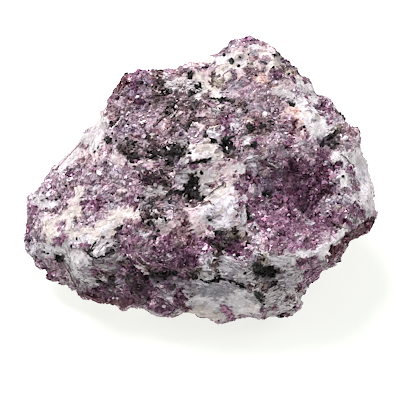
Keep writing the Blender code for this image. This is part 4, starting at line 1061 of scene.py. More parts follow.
def hidden_patches(points):
    """Seeded patches all over these points: (mineral, middle, direction, half length, half width), in mm."""
    chance = np.random.default_rng(HIDDEN_SEED)
    patches = []
    for kind in HIDDEN:
        names = list(kind.minerals)
        weights = np.array([kind.minerals[name] for name in names], float)
        for _ in range(kind.count):
            name = names[chance.choice(len(names), p=weights / weights.sum())]
            middle = points[chance.integers(len(points))]
            direction = HIDDEN_WAY + HIDDEN_SPREAD * chance.normal(size=3)
            direction /= np.linalg.norm(direction)
            half = chance.uniform(kind.shortest, kind.longest)
            patches.append((name, middle, direction, half, half * chance.uniform(*HIDDEN_WIDTH)))
    return patches


def near_places(places, middle, reach):
    """Which of the places, sorted by their first coordinate, lie in a box that reaches this far each way."""
    start, end = np.searchsorted(places[:, 0], (middle[0] - reach, middle[0] + reach))
    return start + np.flatnonzero(np.abs(places[start:end, 1:] - middle[1:]).max(axis=1) < reach)


class Minerals:
    """Which mineral is at each of these points. Points of one grain have one cell and one grain place."""

    def __init__(self, points, normals, cells, grain_places, hidden):
        self.points = points
        self.grain_places = grain_places
        self.cells = cells
        self.facing = smooth_share(normals @ OUT, SEEN_NOT, SEEN_FULLY)
        self.kind = np.full(len(points), MINERAL_NAMES.index(HIDDEN_GROUND))
        self.streak = np.tile(RIGHT, (len(points), 1))
        self.lay_hidden(hidden)
        self.lay_seen()

    def lay(self, name, near, distance, direction, draw, among=1.0):
        """Lays a mineral on the near points that its patch holds. distance is 1 at the patch's edge."""
        amount = among * smooth_share(distance, PATCH_GONE, PATCH_WHOLE)
        taken = near[amount > LEAST_AMOUNT + AMOUNT_SPAN * hashed(self.cells[near], draw)]
        self.kind[taken] = MINERAL_NAMES.index(name)
        self.streak[taken] = direction

    def wander(self, draw):
        """A wandering of the places, in steps of the picture."""
        places = self.grain_places
        waves = sum(far * noise_at(places, size, draw + i) for i, (size, far) in enumerate(WANDER))
        return waves + STRAY * (2.0 * hashed(self.cells, draw + STRAY_DRAW) - 1.0)

    def lay_hidden(self, hidden):
        """Seeded patches on the sides that are not seen."""
        turned_away = np.flatnonzero(self.facing < 1.0)
        turned_away = turned_away[np.argsort(self.points[turned_away, 0])]
        own = self.points[turned_away]
        wander = PICTURE_STEP * np.stack([self.wander(draw) for draw in HIDDEN_WANDER_DRAWS], axis=1)
        strayed = (self.grain_places + wander)[turned_away]
        for number, (name, middle, direction, half_length, half_width) in enumerate(hidden):
            share = min(1.0, half_width / (WANDER_FULLY * PICTURE_STEP))
            reach = PATCH_GONE * half_length + share * WANDER_MOST * PICTURE_STEP
            near = near_places(own, middle, reach)
            offset = own[near] + share * (strayed[near] - own[near]) - middle
            along = offset @ direction
            beside = np.linalg.norm(offset - along[:, None] * direction, axis=1)
            distance = np.hypot(along / half_length, beside / half_width)
            self.lay(name, turned_away[near], distance, direction, HIDDEN_DRAW + number)

    def lay_seen(self):
        """The patches of the side that is seen."""
        own = seen_at(self.points)
        wander = np.stack([self.wander(draw) for draw in SEEN_WANDER_DRAWS], axis=1)
        strayed = seen_at(self.grain_places) + wander
        order = np.argsort(own[:, 0])
        own = own[order]
        strayed = strayed[order]
        for name, patch in PATCHES:
            share = min(1.0, min(patch.half_length, patch.half_width) / WANDER_FULLY)
            reach = PATCH_GONE * max(patch.half_length, patch.half_width) + share * WANDER_MOST
            near = near_places(own, (patch.across, patch.down), reach)
            seen = own[near] + share * (strayed[near] - own[near])
            angle = math.radians(patch.turn)
            right = seen[:, 0] - patch.across
            up = patch.down - seen[:, 1]
            along = (right * math.cos(angle) + up * math.sin(angle)) / patch.half_length
            beside = (up * math.cos(angle) - right * math.sin(angle)) / patch.half_width
            direction = RIGHT * math.cos(angle) + UP * math.sin(angle)
            if patch.half_width > patch.half_length:
                direction = UP * math.cos(angle) - RIGHT * math.sin(angle)
            near = order[near]
            draw = SEEN_DRAW + int(SEEN_DRAW_ACROSS * patch.across + SEEN_DRAW_DOWN * patch.down)
            self.lay(name, near, np.hypot(along, beside), direction, draw, self.facing[near])

    def of(self, field):
        """A field of the mineral at each point; colours come as linear light."""
        values = [getattr(MINERALS[name], field) for name in MINERAL_NAMES]
        table = np.array([linear(value) if np.ndim(value) else value for value in values])
        return table[self.kind]

    def habit(self, field):
        """A field of the mineral's habit at each point."""
        return np.array([getattr(MINERALS[name].habit, field) for name in MINERAL_NAMES])[self.kind]


def floats_of(items, name, width=3):
    """A property of a mesh's items, as an array with this many columns."""
    values = np.empty(len(items) * width, np.float32)
    items.foreach_get(name, values)
    return values.reshape(-1, width).astype(float)


def numbers_of(items, name, width):
    """A property of a mesh's items that is made of whole numbers, as an array with this many columns."""
    values = np.empty(len(items) * width, np.int32)
    items.foreach_get(name, values)
    return values.reshape(-1, width)


def normals_of(mesh):
    """The normal at each point of the mesh."""
    return floats_of(mesh.vertex_normals, "vector")


def fine_mesh(node):
    """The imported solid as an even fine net, without its facets."""
    lump = bpy.data.objects.new("lump", node.data.copy())
    bpy.context.scene.collection.objects.link(lump)
    net = lump.modifiers.new("fine net", "REMESH")
    net.mode = "VOXEL"
    net.voxel_size = FINE_STEP * MM
    net.adaptivity = 0.0
    wear = lump.modifiers.new("no facets", "SMOOTH")
    wear.factor = SMOOTH_FACTOR
    wear.iterations = SMOOTH_ROUNDS
    mesh = bpy.data.meshes.new_from_object(lump.evaluated_get(bpy.context.evaluated_depsgraph_get()))
    bpy.data.objects.remove(lump)
    mesh.materials.clear()
    return mesh


# Relief of the fine surface: grains of these sizes, how far they rise and lean, how deep and wide the
# cracks between them are, and their draws: the first three place the grains, and then come one for the rise
# and three for the lean
RISE_DRAW = 3
LEAN_DRAW = 4
Grains = namedtuple("Grains", "size rise lean crack crack_width draw")
RELIEF_GRAINS = (
    Grains(3.6, 0.52, 0.26, 0.22, 0.6, 100),
    Grains(1.6, 0.24, 0.22, 0.12, 0.4, 110),
    Grains(0.8, 0.12, 0.20, 0.0, 0.2, 120),
)
# Roughness over them: sizes in mm, height of one and draw of each
ROUGHNESS = ((2.4, 0.10, 140), (0.9, 0.06, 141))
STREAK_STRETCH = 5.0
# The whole surface lies this deep in the solid, so that what stands on it reaches the solid's form
SUNK = 0.18
# The relief is none up to the first of these heights over the ground, and whole from the second one
GROUND_CLEARANCE = (0.15, 1.2)
# How far creases and swells wander, in steps of the picture, and over what size in mm
CREASE_WANDER = 1.2
CREASE_WANDER_SIZE = 1.6
# Grains that take one mineral, and how their tones vary: in brightness, and from violet to magenta
TONE_GRAIN = 0.95
TONE_BRIGHTNESS = 0.22
TONE_HUE = 0.045
HUE_SHIFT = np.array((1.0, 0.3, -1.0))
# Ledges of the sides that are not seen: sizes in mm, height of one and draw of each; how many levels of
# them there are on either side of the middle one, from where to where in a level its riser is, and how much
# flatter than long they are
LEDGES = ((13.0, 0.42, 130), (6.0, 0.24, 131))
LEDGE_LEVELS = 2.4
LEDGE_RISER = (0.7, 1.0)
LEDGE_FLATNESS = np.array((0.7, 1.0, 1.5))
# Painted shade: between flakes the surface is darker than they are, partly as their shade and partly as the
# darker mica beneath them
SHADE_UNDER_FLAKES = 0.64
# Hollows are found by smoothing the surface in this many rounds; this deep in mm they are as hollow as they
# get. Painted shade and dirt begin and are full at these shares of it, and tops get painted light between
# the others.
HOLLOW_ROUNDS = 16
HOLLOW_DEPTH = 0.35
SHADED_DIRTY_HOLLOW = (0.1, 1.0)
LIT_TOP = (-0.1, -0.9)
HOLLOW_SHADE_AND_DIRT_TONE = np.array((0.28, 0.21, 0.24))
TOP_PAINTED_LIGHT = 1.10


def stretched(points, streak, streaky):
    """The points, drawn together along the streaks, so that a pattern on them is drawn out."""
    along = np.sum(points * streak, axis=1, keepdims=True)
    return points - streak * along * (1.0 - 1.0 / STREAK_STRETCH) * streaky[:, None]


def relief(points, minerals):
    """How far the grains raise each point, in mm."""
    drawn = stretched(points, minerals.streak, minerals.habit("streaky"))
    raised = np.zeros(len(points))
    for kind in RELIEF_GRAINS:
        seed, cell, inside = grains_at(drawn, kind.size, kind.draw)
        lean = np.stack([hashed(cell, kind.draw + LEAN_DRAW + axis) for axis in range(3)], axis=1) - 0.5
        rise = hashed(cell, kind.draw + RISE_DRAW) - 0.5
        raised += kind.rise * rise + kind.lean * np.sum(lean * (drawn - seed), axis=1)
        raised -= kind.crack * smooth_share(inside, kind.crack_width, 0.0)
    raised *= minerals.habit("grain")
    for size, height, draw in ROUGHNESS:
        raised += height * noise_at(drawn, size, draw)
    return raised


def varied(colours, variety, cells, draw):
    """The colours, with every cell's own brightness and its own place between violet and magenta."""
    brightness = 1.0 + TONE_BRIGHTNESS * variety * (2.0 * hashed(cells, draw) - 1.0)
    hue = TONE_HUE * variety * (2.0 * hashed(cells, draw + 1) - 1.0)
    return colours * brightness[:, None] * (1.0 + hue[:, None] * HUE_SHIFT)


def line_distance(seen, places):
    """How far points in the picture are from a line through these places, and whether they lie below it."""
    nearest = np.full(len(seen), np.inf)
    below = np.zeros(len(seen), bool)
    for start, end in zip(np.array(places[:-1], float), np.array(places[1:], float)):
        way = end - start
        offset = seen - start
        share = np.clip(offset @ way / (way @ way), 0.0, 1.0)
        distance = np.linalg.norm(offset - share[:, None] * way, axis=1)
        closer = distance < nearest
        nearest[closer] = distance[closer]
        below[closer] = (way[0] * offset[:, 1] - way[1] * offset[:, 0] > 0.0)[closer]
    return nearest, below


def creased(points, facing, near_outline):
    """How far the creases and the swells raise each point, in mm. The swells reach round the outline."""
    wander = np.stack([noise_at(points, CREASE_WANDER_SIZE, draw) for draw in CREASE_DRAWS], axis=1)
    seen = seen_at(points) + CREASE_WANDER * wander
    raised = np.zeros(len(points))
    for crease in CREASES:
        distance, below = line_distance(seen, crease.places)
        raised -= crease.depth * smooth_share(distance, crease.half_width, 0.0)
        raised += np.where(below, -crease.drop, crease.lift) * smooth_share(distance, crease.reach, 0.0)
    raised *= facing
    for across, down, radius, height in SWELLS:
        distance = np.hypot(seen[:, 0] - across, seen[:, 1] - down)
        raised += height * smooth_share(distance, radius, 0.0) * near_outline
    return raised


def ledges(points, facing):
    """How far the ledges of the sides that are not seen raise each point, in mm."""
    raised = np.zeros(len(points))
    for size, height, draw in LEDGES:
        level = LEDGE_LEVELS * noise_at(points * LEDGE_FLATNESS, size, draw)
        raised += height * (np.floor(level) + smooth_share(level - np.floor(level), *LEDGE_RISER))
    return raised * (1.0 - facing)


def smoothed(mesh, values, rounds):
    """Values of the mesh's points, each replaced by the mean of its neighbours in every round."""
    ends = numbers_of(mesh.edges, "vertices", 2)
    here = np.concatenate((ends[:, 0], ends[:, 1]))
    there = np.concatenate((ends[:, 1], ends[:, 0]))
    count = np.bincount(here, minlength=len(values))
    for _ in range(rounds):
        sums = [np.bincount(here, values[there, i], minlength=len(values)) for i in range(values.shape[1])]
        values = np.stack(sums, axis=1) / count[:, None]
    return values


def hollow_at(mesh, points):
    """How hollow the surface is at each point, from -1 on tops to 1 in hollows."""
    inward = smoothed(mesh, points, HOLLOW_ROUNDS) - points
    return np.clip(np.sum(inward * normals_of(mesh), axis=1) / HOLLOW_DEPTH, -1.0, 1.0)


def hollow_tint(hollow, dirt):
    """The factor of painted shade and dirt in hollows and painted light on tops, on the colours there."""
    deep = (dirt * smooth_share(hollow, *SHADED_DIRTY_HOLLOW))[:, None]
    high = smooth_share(hollow, *LIT_TOP)[:, None]
    return (1.0 + (HOLLOW_SHADE_AND_DIRT_TONE - 1.0) * deep) * (1.0 + (TOP_PAINTED_LIGHT - 1.0) * high)


def add_attribute(mesh, name, kind, values):
    """Writes a value for each point on the mesh. Colours get their fourth value here."""
    attribute = mesh.attributes.new(name, kind, "POINT")
    key = {"FLOAT": "value", "FLOAT_VECTOR": "vector", "FLOAT_COLOR": "color"}[kind]
    if kind == "FLOAT_COLOR":
        values = np.hstack((values, np.ones((len(values), 1))))
    attribute.data.foreach_set(key, np.asarray(values, np.float32).ravel())


def raise_surface(mesh, points, normals, minerals):
    """Gives the mesh its relief, and returns the new places of its points."""
    near_outline = smooth_share(normals @ OUT, *SWELL_FACING)
    raised = relief(points, minerals) + creased(points, minerals.facing, near_outline)
    raised += ledges(points, minerals.facing)
    above_ground = smooth_share(points[:, 2], *GROUND_CLEARANCE)
    moved = points + normals * ((raised - SUNK) * above_ground)[:, None]
    moved = np.clip(moved, BOX_LOW, BOX_HIGH)
    mesh.vertices.foreach_set("co", (moved * MM).astype(np.float32).ravel())
    mesh.update()
    return moved


def describe_surface(mesh, points, cells, minerals):
    """Writes what each point is made of on the mesh, for the material to read."""
    # Painted shade between the flakes, where they cover the surface
    shade = 1.0 - (1.0 - SHADE_UNDER_FLAKES) * minerals.habit("flakes")
    hollow = hollow_at(mesh, points)
    # The colours carry painted shade and some dirt in hollows, and painted light on tops
    tint = hollow_tint(hollow, minerals.habit("dirt")) * shade[:, None]
    for tone in ("pale", "light", "dark"):
        colours = varied(minerals.of(tone), minerals.habit("variety"), cells, GRAIN_TONE_DRAW)
        add_attribute(mesh, tone, "FLOAT_COLOR", colours * tint)
    for share in ("pale_share", "dark_share"):
        add_attribute(mesh, share, "FLOAT", minerals.of(share))
    for field in ("grain", "gloss", "streaky"):
        add_attribute(mesh, field, "FLOAT", minerals.habit(field))
    add_attribute(mesh, "streak", "FLOAT_VECTOR", minerals.streak)
    add_attribute(mesh, "hollow", "FLOAT", hollow)


def build_surface(node):
    """The stone's fine surface, with its relief and what it is made of, and the hidden patches on it."""
    mesh = fine_mesh(node)
    points = floats_of(mesh.vertices, "co") / MM
    normals = normals_of(mesh)
    seeds, cells, _ = grains_at(points, TONE_GRAIN, GRAIN_DRAW)
    hidden = hidden_patches(points)
    minerals = Minerals(points, normals, cells, seeds, hidden)
    moved = raise_surface(mesh, points, normals, minerals)
    describe_surface(mesh, moved, cells, minerals)
    surface = bpy.data.objects.new("stone_surface", mesh)
    bpy.context.scene.collection.objects.link(surface)
    return surface, hidden


# Places are tried this many times as often as pieces are wanted, and lie above this height over the ground
SOW_TRIES = 5
SOW_ABOVE = 1.0
# Neighbouring pieces share a tone within clumps of this size in mm, and this share of them does. How much
# their own brightness varies besides.
CLUMP = 1.15
CLUMPED = 0.66
OWN_BRIGHTNESS = 0.15
# No direction is divided by a length below this
SHORTEST = 1e-6
# Outlines of the crystals, as the angles of their corners
HEXAGON = np.radians((0, 60, 120, 180, 240, 300))
SQUARE = np.radians((45, 135, 225, 315))
TRIANGLE = np.radians((90, 210, 330))


class Ground:
    """The fine surface, as a place where small pieces can be sown."""

    def __init__(self, surface, hidden):
        mesh = surface.data
        self.hidden = hidden
        mesh.calc_loop_triangles()
        self.corners = numbers_of(mesh.loop_triangles, "vertices", 3)
        self.points = floats_of(mesh.vertices, "co") / MM
        self.normals = normals_of(mesh)
        a, b, c = (self.points[self.corners[:, i]] for i in range(3))
        self.areas = 0.5 * np.linalg.norm(np.cross(b - a, c - a), axis=1)
        self.hollow = floats_of(mesh.attributes["hollow"].data, "value", 1)[:, 0]

    def sow(self, habit, count, chance):
        """Up to this many places for pieces, in the minerals that carry them: points, normals, minerals."""
        tries = chance.choice(len(self.areas), SOW_TRIES * count, p=self.areas / self.areas.sum())
        shares = chance.dirichlet((1.0, 1.0, 1.0), len(tries))
        corners = self.corners[tries]
        points = np.einsum("ij,ijk->ik", shares, self.points[corners])
        normals = np.einsum("ij,ijk->ik", shares, self.normals[corners])
        normals /= np.linalg.norm(normals, axis=1, keepdims=True)
        hollow = np.einsum("ij,ij->i", shares, self.hollow[corners])
        cells = np.zeros((len(points), 3))
        cells[:, 0] = np.arange(len(points))
        minerals = Minerals(points, normals, cells, points, self.hidden)
        keep = (chance.random(len(points)) < minerals.habit(habit)) & (points[:, 2] > SOW_ABOVE)
        keep &= np.cumsum(keep) <= count
        if habit != "splinters":
            keep &= ~marked(points, minerals.facing)
        minerals.kind = minerals.kind[keep]
        minerals.streak = minerals.streak[keep]
        # Each piece takes the painted shade and dirt of the hollow, or the painted light of the top, where
        # it lies
        minerals.tint = hollow_tint(hollow[keep], minerals.habit("dirt"))
        return points[keep], normals[keep], minerals


def sizes(count, bounds, chance, power=1.0):
    """Random sizes between the bounds; a higher power gives more small ones."""
    low, high = bounds
    return (low + (high - low) * chance.random(count) ** power)[:, None]


def across_of(normals, hint):
    """Two directions that lie in the plane of each normal, the first of them near the hint."""
    first = hint - normals * np.sum(hint * normals, axis=1, keepdims=True)
    first /= np.maximum(np.linalg.norm(first, axis=1, keepdims=True), SHORTEST)
    return first, np.cross(normals, first)


def leaning(normals, most, chance):
    """The normals, each leaned over by up to this angle in degrees, to a random side."""
    angle = np.radians(most) * np.sqrt(chance.random((len(normals), 1)))
    side, _ = across_of(normals, chance.normal(size=normals.shape))
    return normals * np.cos(angle) + side * np.sin(angle)


def prisms(middles, first, second, third, outline, radii):
    """Closed prisms: their outline, given as angles, lies along first and second, their height along third.

    first, second and third are half sizes as vectors; radii gives each corner's own share of them.
    """
    corners = len(outline)
    turned = first[:, None] * np.cos(outline)[:, None] + second[:, None] * np.sin(outline)[:, None]
    rim = turned * radii[:, :, None]
    top = middles[:, None] + rim + third[:, None]
    bottom = middles[:, None] + rim - third[:, None]
    points = np.concatenate((bottom, top), axis=1)
    faces = []
    for i in range(corners):
        after = (i + 1) % corners
        faces += [(i, after, after + corners), (i, after + corners, i + corners)]
    for i in range(1, corners - 1):
        faces += [(0, i + 1, i), (corners, corners + i, corners + i + 1)]
    faces = np.array(faces) + 2 * corners * np.arange(len(middles))[:, None, None]
    return points.reshape(-1, 3), faces.reshape(-1, 3)


def join_pieces(name, points, faces, colours, gloss, chunk):
    """Makes one mesh of the pieces that lie inside the solid's box, with chunk points each."""
    inside = np.all((points >= BOX_LOW) & (points <= BOX_HIGH), axis=1).reshape(-1, chunk).all(axis=1)
    faces = faces.reshape(len(inside), -1, 3)[inside]
    new_number = np.cumsum(inside) - 1
    faces = faces - chunk * (np.flatnonzero(inside) - new_number[inside])[:, None, None]
    points = points.reshape(-1, chunk, 3)[inside].reshape(-1, 3)
    mesh = bpy.data.meshes.new(name)
    mesh.from_pydata((points * MM).tolist(), [], faces.reshape(-1, 3).tolist())
    add_attribute(mesh, "tone", "FLOAT_COLOR", np.repeat(colours[inside], chunk, axis=0))
    add_attribute(mesh, "gloss", "FLOAT", np.repeat(gloss[inside], chunk))
    piece = bpy.data.objects.new(name, mesh)
    bpy.context.scene.collection.objects.link(piece)
    return piece


def tones_of(minerals, points, chance):
    """A pale, light or dark tone of its mineral for each piece, often the same as its neighbours have."""
    _, clump, _ = grains_at(points, CLUMP, CLUMP_DRAW)
    clumped = chance.random(len(points)) < CLUMPED
    draw = np.where(clumped, hashed(clump, CLUMP_TONE_DRAW), chance.random(len(points)))[:, None]
    pale_share = minerals.of("pale_share")[:, None]
    dark_share = minerals.of("dark_share")[:, None]
    tone = np.where(draw < pale_share, minerals.of("pale"), minerals.of("light"))
    tone = np.where(draw > 1.0 - dark_share, minerals.of("dark"), tone)
    own = 1.0 + OWN_BRIGHTNESS * minerals.habit("variety") * chance.uniform(-1.0, 1.0, len(points))
    # The tone carries the painted shade, dirt and painted light of the place where the piece lies
    return varied(tone, minerals.habit("variety"), clump, PIECE_TONE_DRAW) * own[:, None] * minerals.tint


def make_crystals(name, minerals, points, middles, half_sizes, outline, radii, chance):
    """One mesh of prisms around these middles, in the tones that their minerals have at the points."""
    corners, faces = prisms(middles, *half_sizes, outline, radii)
    tones = tones_of(minerals, points, chance)
    return join_pieces(name, corners, faces, tones, minerals.habit("gloss"), 2 * len(outline))


# Mica flakes: seeds of the three pieces of them, how many are in each, radius from and to, and the power
# that makes small ones more common. How far they lean, how far their middles stand out as a share of the
# largest radius, the shares of the radius that corners have, and how slender they are. Streaky minerals
# have more slender ones.
FLAKE_SEEDS = {"mica_flakes_a": 11, "mica_flakes_b": 12, "mica_flakes_c": 15}
FLAKES = 9900
FLAKE_RADIUS = (0.16, 0.50)
FLAKE_POWER = 1.8
FLAKE_LEAN = 37.0
FLAKE_STAND = (-0.35, 0.04)
FLAKE_CORNERS = (0.6, 1.15)
FLAKE_SLENDER = (0.45, 1.0)
FLAKE_STREAKED = 0.4
# Half their thickness is this share of the smallest radius, and this share of their own radius more
FLAKE_THICKNESS = (0.12, 0.30)
FLAKE_THICKENING = 0.1
# How strongly flakes turn into the way that their mineral is drawn out
LEAFY = 3.0
# Larger and flatter plates of mica between them
PLATE_SEED = 16
PLATES = 1500
PLATE_RADIUS = (0.40, 0.95)
PLATE_LEAN = 22.0


def sow_flakes(name, ground, seed, count=FLAKES, radius_range=FLAKE_RADIUS, lean=FLAKE_LEAN):
    """Mica flakes: flat, uneven hexagons."""
    chance = np.random.default_rng(seed)
    points, normals, minerals = ground.sow("flakes", count, chance)
    count = len(points)
    leaned = leaning(normals, lean, chance)
    streaky = minerals.habit("streaky")[:, None]
    first, second = across_of(leaned, chance.normal(size=leaned.shape) + LEAFY * streaky * minerals.streak)
    radius = sizes(count, radius_range, chance, FLAKE_POWER)
    thickness = FLAKE_RADIUS[0] * sizes(count, FLAKE_THICKNESS, chance) + FLAKE_THICKENING * radius
    middles = points + normals * FLAKE_RADIUS[1] * chance.uniform(*FLAKE_STAND, (count, 1))
    radii = chance.uniform(*FLAKE_CORNERS, (count, len(HEXAGON)))
    slender = sizes(count, FLAKE_SLENDER, chance) * (1.0 - FLAKE_STREAKED * streaky)
    half_sizes = (first * radius, second * radius * slender, leaned * thickness)
    return make_crystals(name, minerals, points, middles, half_sizes, HEXAGON, radii, chance)


# Albite blades: seed, how many, half length and the power that makes short ones more common, half width,
# half height as a share of it, how far they lean over and stray from their mineral's streaks, how far their
# middles stand out as a share of their height, and the shares of their sizes that corners have
BLADE_SEED = 13
BLADES = 5000
BLADE_LENGTH = (0.4, 1.05)
BLADE_POWER = 1.5
BLADE_WIDTH = (0.10, 0.32)
BLADE_HEIGHT = (0.25, 0.5)
BLADE_LEAN = 10.0
BLADE_STRAY = 0.28
BLADE_STAND = (-0.95, -0.1)
BLADE_CORNERS = (0.85, 1.2)


def sow_blades(name, ground, seed):
    """Albite blades: long, four-sided prisms along the streaks of their mineral."""
    chance = np.random.default_rng(seed)
    points, normals, minerals = ground.sow("blades", BLADES, chance)
    count = len(points)
    leaned = leaning(normals, BLADE_LEAN, chance)
    first, second = across_of(leaned, minerals.streak + BLADE_STRAY * chance.normal(size=leaned.shape))
    length = sizes(count, BLADE_LENGTH, chance, BLADE_POWER)
    width = sizes(count, BLADE_WIDTH, chance)
    height = width * sizes(count, BLADE_HEIGHT, chance)
    middles = points + normals * height * chance.uniform(*BLADE_STAND, (count, 1))
    radii = chance.uniform(*BLADE_CORNERS, (count, len(SQUARE)))
    half_sizes = (first * length, second * width, leaned * height)
    return make_crystals(name, minerals, points, middles, half_sizes, SQUARE, radii, chance)


# Black splinters: seed, how many, half size and the power that makes small ones more common, how far they
# lean, how far their middles stand out and their corners reach as shares of their half size, and how long
# they are for their width
SPLINTER_SEED = 14
SPLINTERS = 2600
SPLINTER_SIZE = (0.15, 0.6)
SPLINTER_POWER = 1.6
SPLINTER_LEAN = 80.0
SPLINTER_STAND = (-0.45, 0.1)
SPLINTER_CORNERS = (0.6, 1.1)
SPLINTER_SLENDER = 1.3
# How far a splinter's tip may stand out, in mm
SPLINTER_TIP = 0.3


def sow_splinters(name, ground, seed):
    """Black splinters: short, three-sided prisms at all angles."""
    chance = np.random.default_rng(seed)
    points, normals, minerals = ground.sow("splinters", SPLINTERS, chance)
    count = len(points)
    minerals.kind = np.full(count, MINERAL_NAMES.index("black"))
    leaned = leaning(normals, SPLINTER_LEAN, chance)
    first, second = across_of(leaned, chance.normal(size=leaned.shape))
    size = sizes(count, SPLINTER_SIZE, chance, SPLINTER_POWER)
    reach = SPLINTER_SLENDER * size * (leaned * normals).sum(axis=1, keepdims=True)
    offset = np.minimum(size * chance.uniform(*SPLINTER_STAND, (count, 1)), SPLINTER_TIP - reach)
    middles = points + normals * offset
    radii = chance.uniform(*SPLINTER_CORNERS, (count, len(TRIANGLE)))
    half_sizes = (first * size, second * size, leaned * size * SPLINTER_SLENDER)
    return make_crystals(name, minerals, points, middles, half_sizes, TRIANGLE, radii, chance)


# Small flat grains that lie in the surface: their seed, their outline's corners, how far beyond their half
# size those are, each with its own share of that, and how deep and high they reach in mm at their rim and
# in their middle
SPOT_SEED = 21
SPOT_CORNERS = np.radians((30, 90, 150, 210, 270, 330))
SPOT_SIZE = 1.1
SPOT_CORNER_SHARES = (0.7, 1.2)
SPOT_DEEP = 0.3
SPOT_HIGH = 0.16
SPOT_TOP = 0.26
# How far in mm for each step of its half size a corner may be from the middle: further means round an edge
SPOT_REACH = 0.6
# How much their brightness varies
SPOT_TONES = (0.8, 1.15)
# A large grain is broken into parts. Half length times half width of each part, and with fewer parts it
# stays whole. How far out the parts lie, their size, their half length and half width for that, and how far
# they turn in degrees.
PART_AREA = 2.2
FEWEST_PARTS = 4
PART_PLACE = 0.8
PART_SIZES = (0.5, 0.85)
PART_LENGTH = 1.35
PART_WIDTH = 0.85
PART_TURN = 40.0
# A line is a row of dashes: how long each is, how far it strays, its half length as a share of the way
# between dashes, and its half width as a share of the line's
DASH_LENGTH = 2.2
DASH_STRAY = 0.25
DASH_HALF_LENGTHS = (0.4, 0.75)
DASH_HALF_WIDTHS = (0.6, 1.3)
# Lines of these minerals are thin edges that stand out further, by this much in mm
EDGE_LIFTS = {"white": 0.25, "chalk": 0.08}
# Flakes and blades keep this far off the lines and grains, in steps of the picture, where the side is seen
# this well
MARK_ROOM = 1.0
MARK_FACING = 0.5


class Eye:
    """Finds the places on the fine surface that the eye sees at places in the picture."""

    def __init__(self, ground):
        self.tree = BVHTree.FromPolygons(ground.points.tolist(), ground.corners.tolist())
        self.place = MIDDLE + OUT * EYE_DISTANCE

    def hit(self, across, down):
        """The point and the normal there, or None beside the stone."""
        right = (across - MIDDLE_SEEN[0]) * PICTURE_STEP
        up = (MIDDLE_SEEN[1] - down) * PICTURE_STEP
        ray = MIDDLE + RIGHT * right + UP * up - self.place
        point, normal, _, _ = self.tree.ray_cast(Vector(self.place), Vector(ray).normalized())
        return (np.array(point), np.array(normal)) if point else None


def marked(points, facing):
    """Which of the points lie on a line or a small grain of the side that is seen."""
    seen = seen_at(points)
    on_mark = np.zeros(len(points), bool)
    for _, half_width, places in LINES:
        on_mark |= line_distance(seen, places)[0] < half_width + MARK_ROOM
    for spots in SPOTS.values():
        for spot in (Patch(*row) for row in spots):
            reach = math.sqrt(spot.half_length * spot.half_width) + MARK_ROOM
            on_mark |= np.hypot(seen[:, 0] - spot.across, seen[:, 1] - spot.down) < reach
    return on_mark & (facing > MARK_FACING)


def place_in(patch, along, beside):
    """The place in the picture that lies this far along and beside a patch's direction, from its middle."""
    cosine = math.cos(math.radians(patch.turn))
    sine = math.sin(math.radians(patch.turn))
    return patch.across + along * cosine - beside * sine, patch.down - along * sine - beside * cosine


def line_spots(places, half_width, chance):
    """A thin line as a row of short grains."""
    spots = []
    for start, end in zip(np.array(places[:-1], float), np.array(places[1:], float)):
        way = end - start
        turn = math.degrees(math.atan2(-way[1], way[0]))
        count = max(1, round(np.linalg.norm(way) / DASH_LENGTH))
        for i in range(count):
            across, down = start + way * (i + 0.5) / count + chance.normal(0.0, DASH_STRAY, 2)
            half_length = np.linalg.norm(way) / count * chance.uniform(*DASH_HALF_LENGTHS)
            own_half_width = half_width * chance.uniform(*DASH_HALF_WIDTHS)
            spots.append(Patch(across, down, half_length, own_half_width, turn))
    return spots


def broken(spot, chance):
    """A large grain as smaller ones that overlap, so that its outline is ragged. A small one stays whole."""
    count = round(spot.half_length * spot.half_width / PART_AREA)
    if count < FEWEST_PARTS:
        return [spot]
    parts = []
    for _ in range(count + 2):
        angle = chance.uniform(0.0, 2.0 * math.pi)
        out = PART_PLACE * math.sqrt(chance.random())
        along = spot.half_length * out * math.cos(angle)
        beside = spot.half_width * out * math.sin(angle)
        size = chance.uniform(*PART_SIZES) * math.sqrt(PART_AREA)
        turn = spot.turn + chance.uniform(-PART_TURN, PART_TURN)
        parts.append(Patch(*place_in(spot, along, beside), PART_LENGTH * size, PART_WIDTH * size, turn))
    return parts


def spots_to_lay(chance):
    """Every small grain: its mineral, how much higher it stands in mm, and its place and shape."""
    rows = []
    for mineral, spots in SPOTS.items():
        for spot in spots:
            rows += [(mineral, 0.0, part) for part in broken(Patch(*spot), chance)]
    for mineral, half_width, places in LINES:
        lift = EDGE_LIFTS.get(mineral, 0.0)
        rows += [(mineral, lift, dash) for dash in line_spots(places, half_width, chance)]
    return rows


def spot_faces(count):
    """The faces of this many grains: walls between a lower and an upper ring, a low cone and a flat base."""
    corners = len(SPOT_CORNERS)
    faces = []
    for i in range(corners):
        after = (i + 1) % corners
        faces += [(i, after, after + corners), (i, after + corners, i + corners)]
        faces += [(2 * corners, i + corners, after + corners)]
    for i in range(1, corners - 1):
        faces += [(0, i + 1, i)]
    faces = np.array(faces) + (2 * corners + 1) * np.arange(count)[:, None, None]
    return faces.reshape(-1, 3)


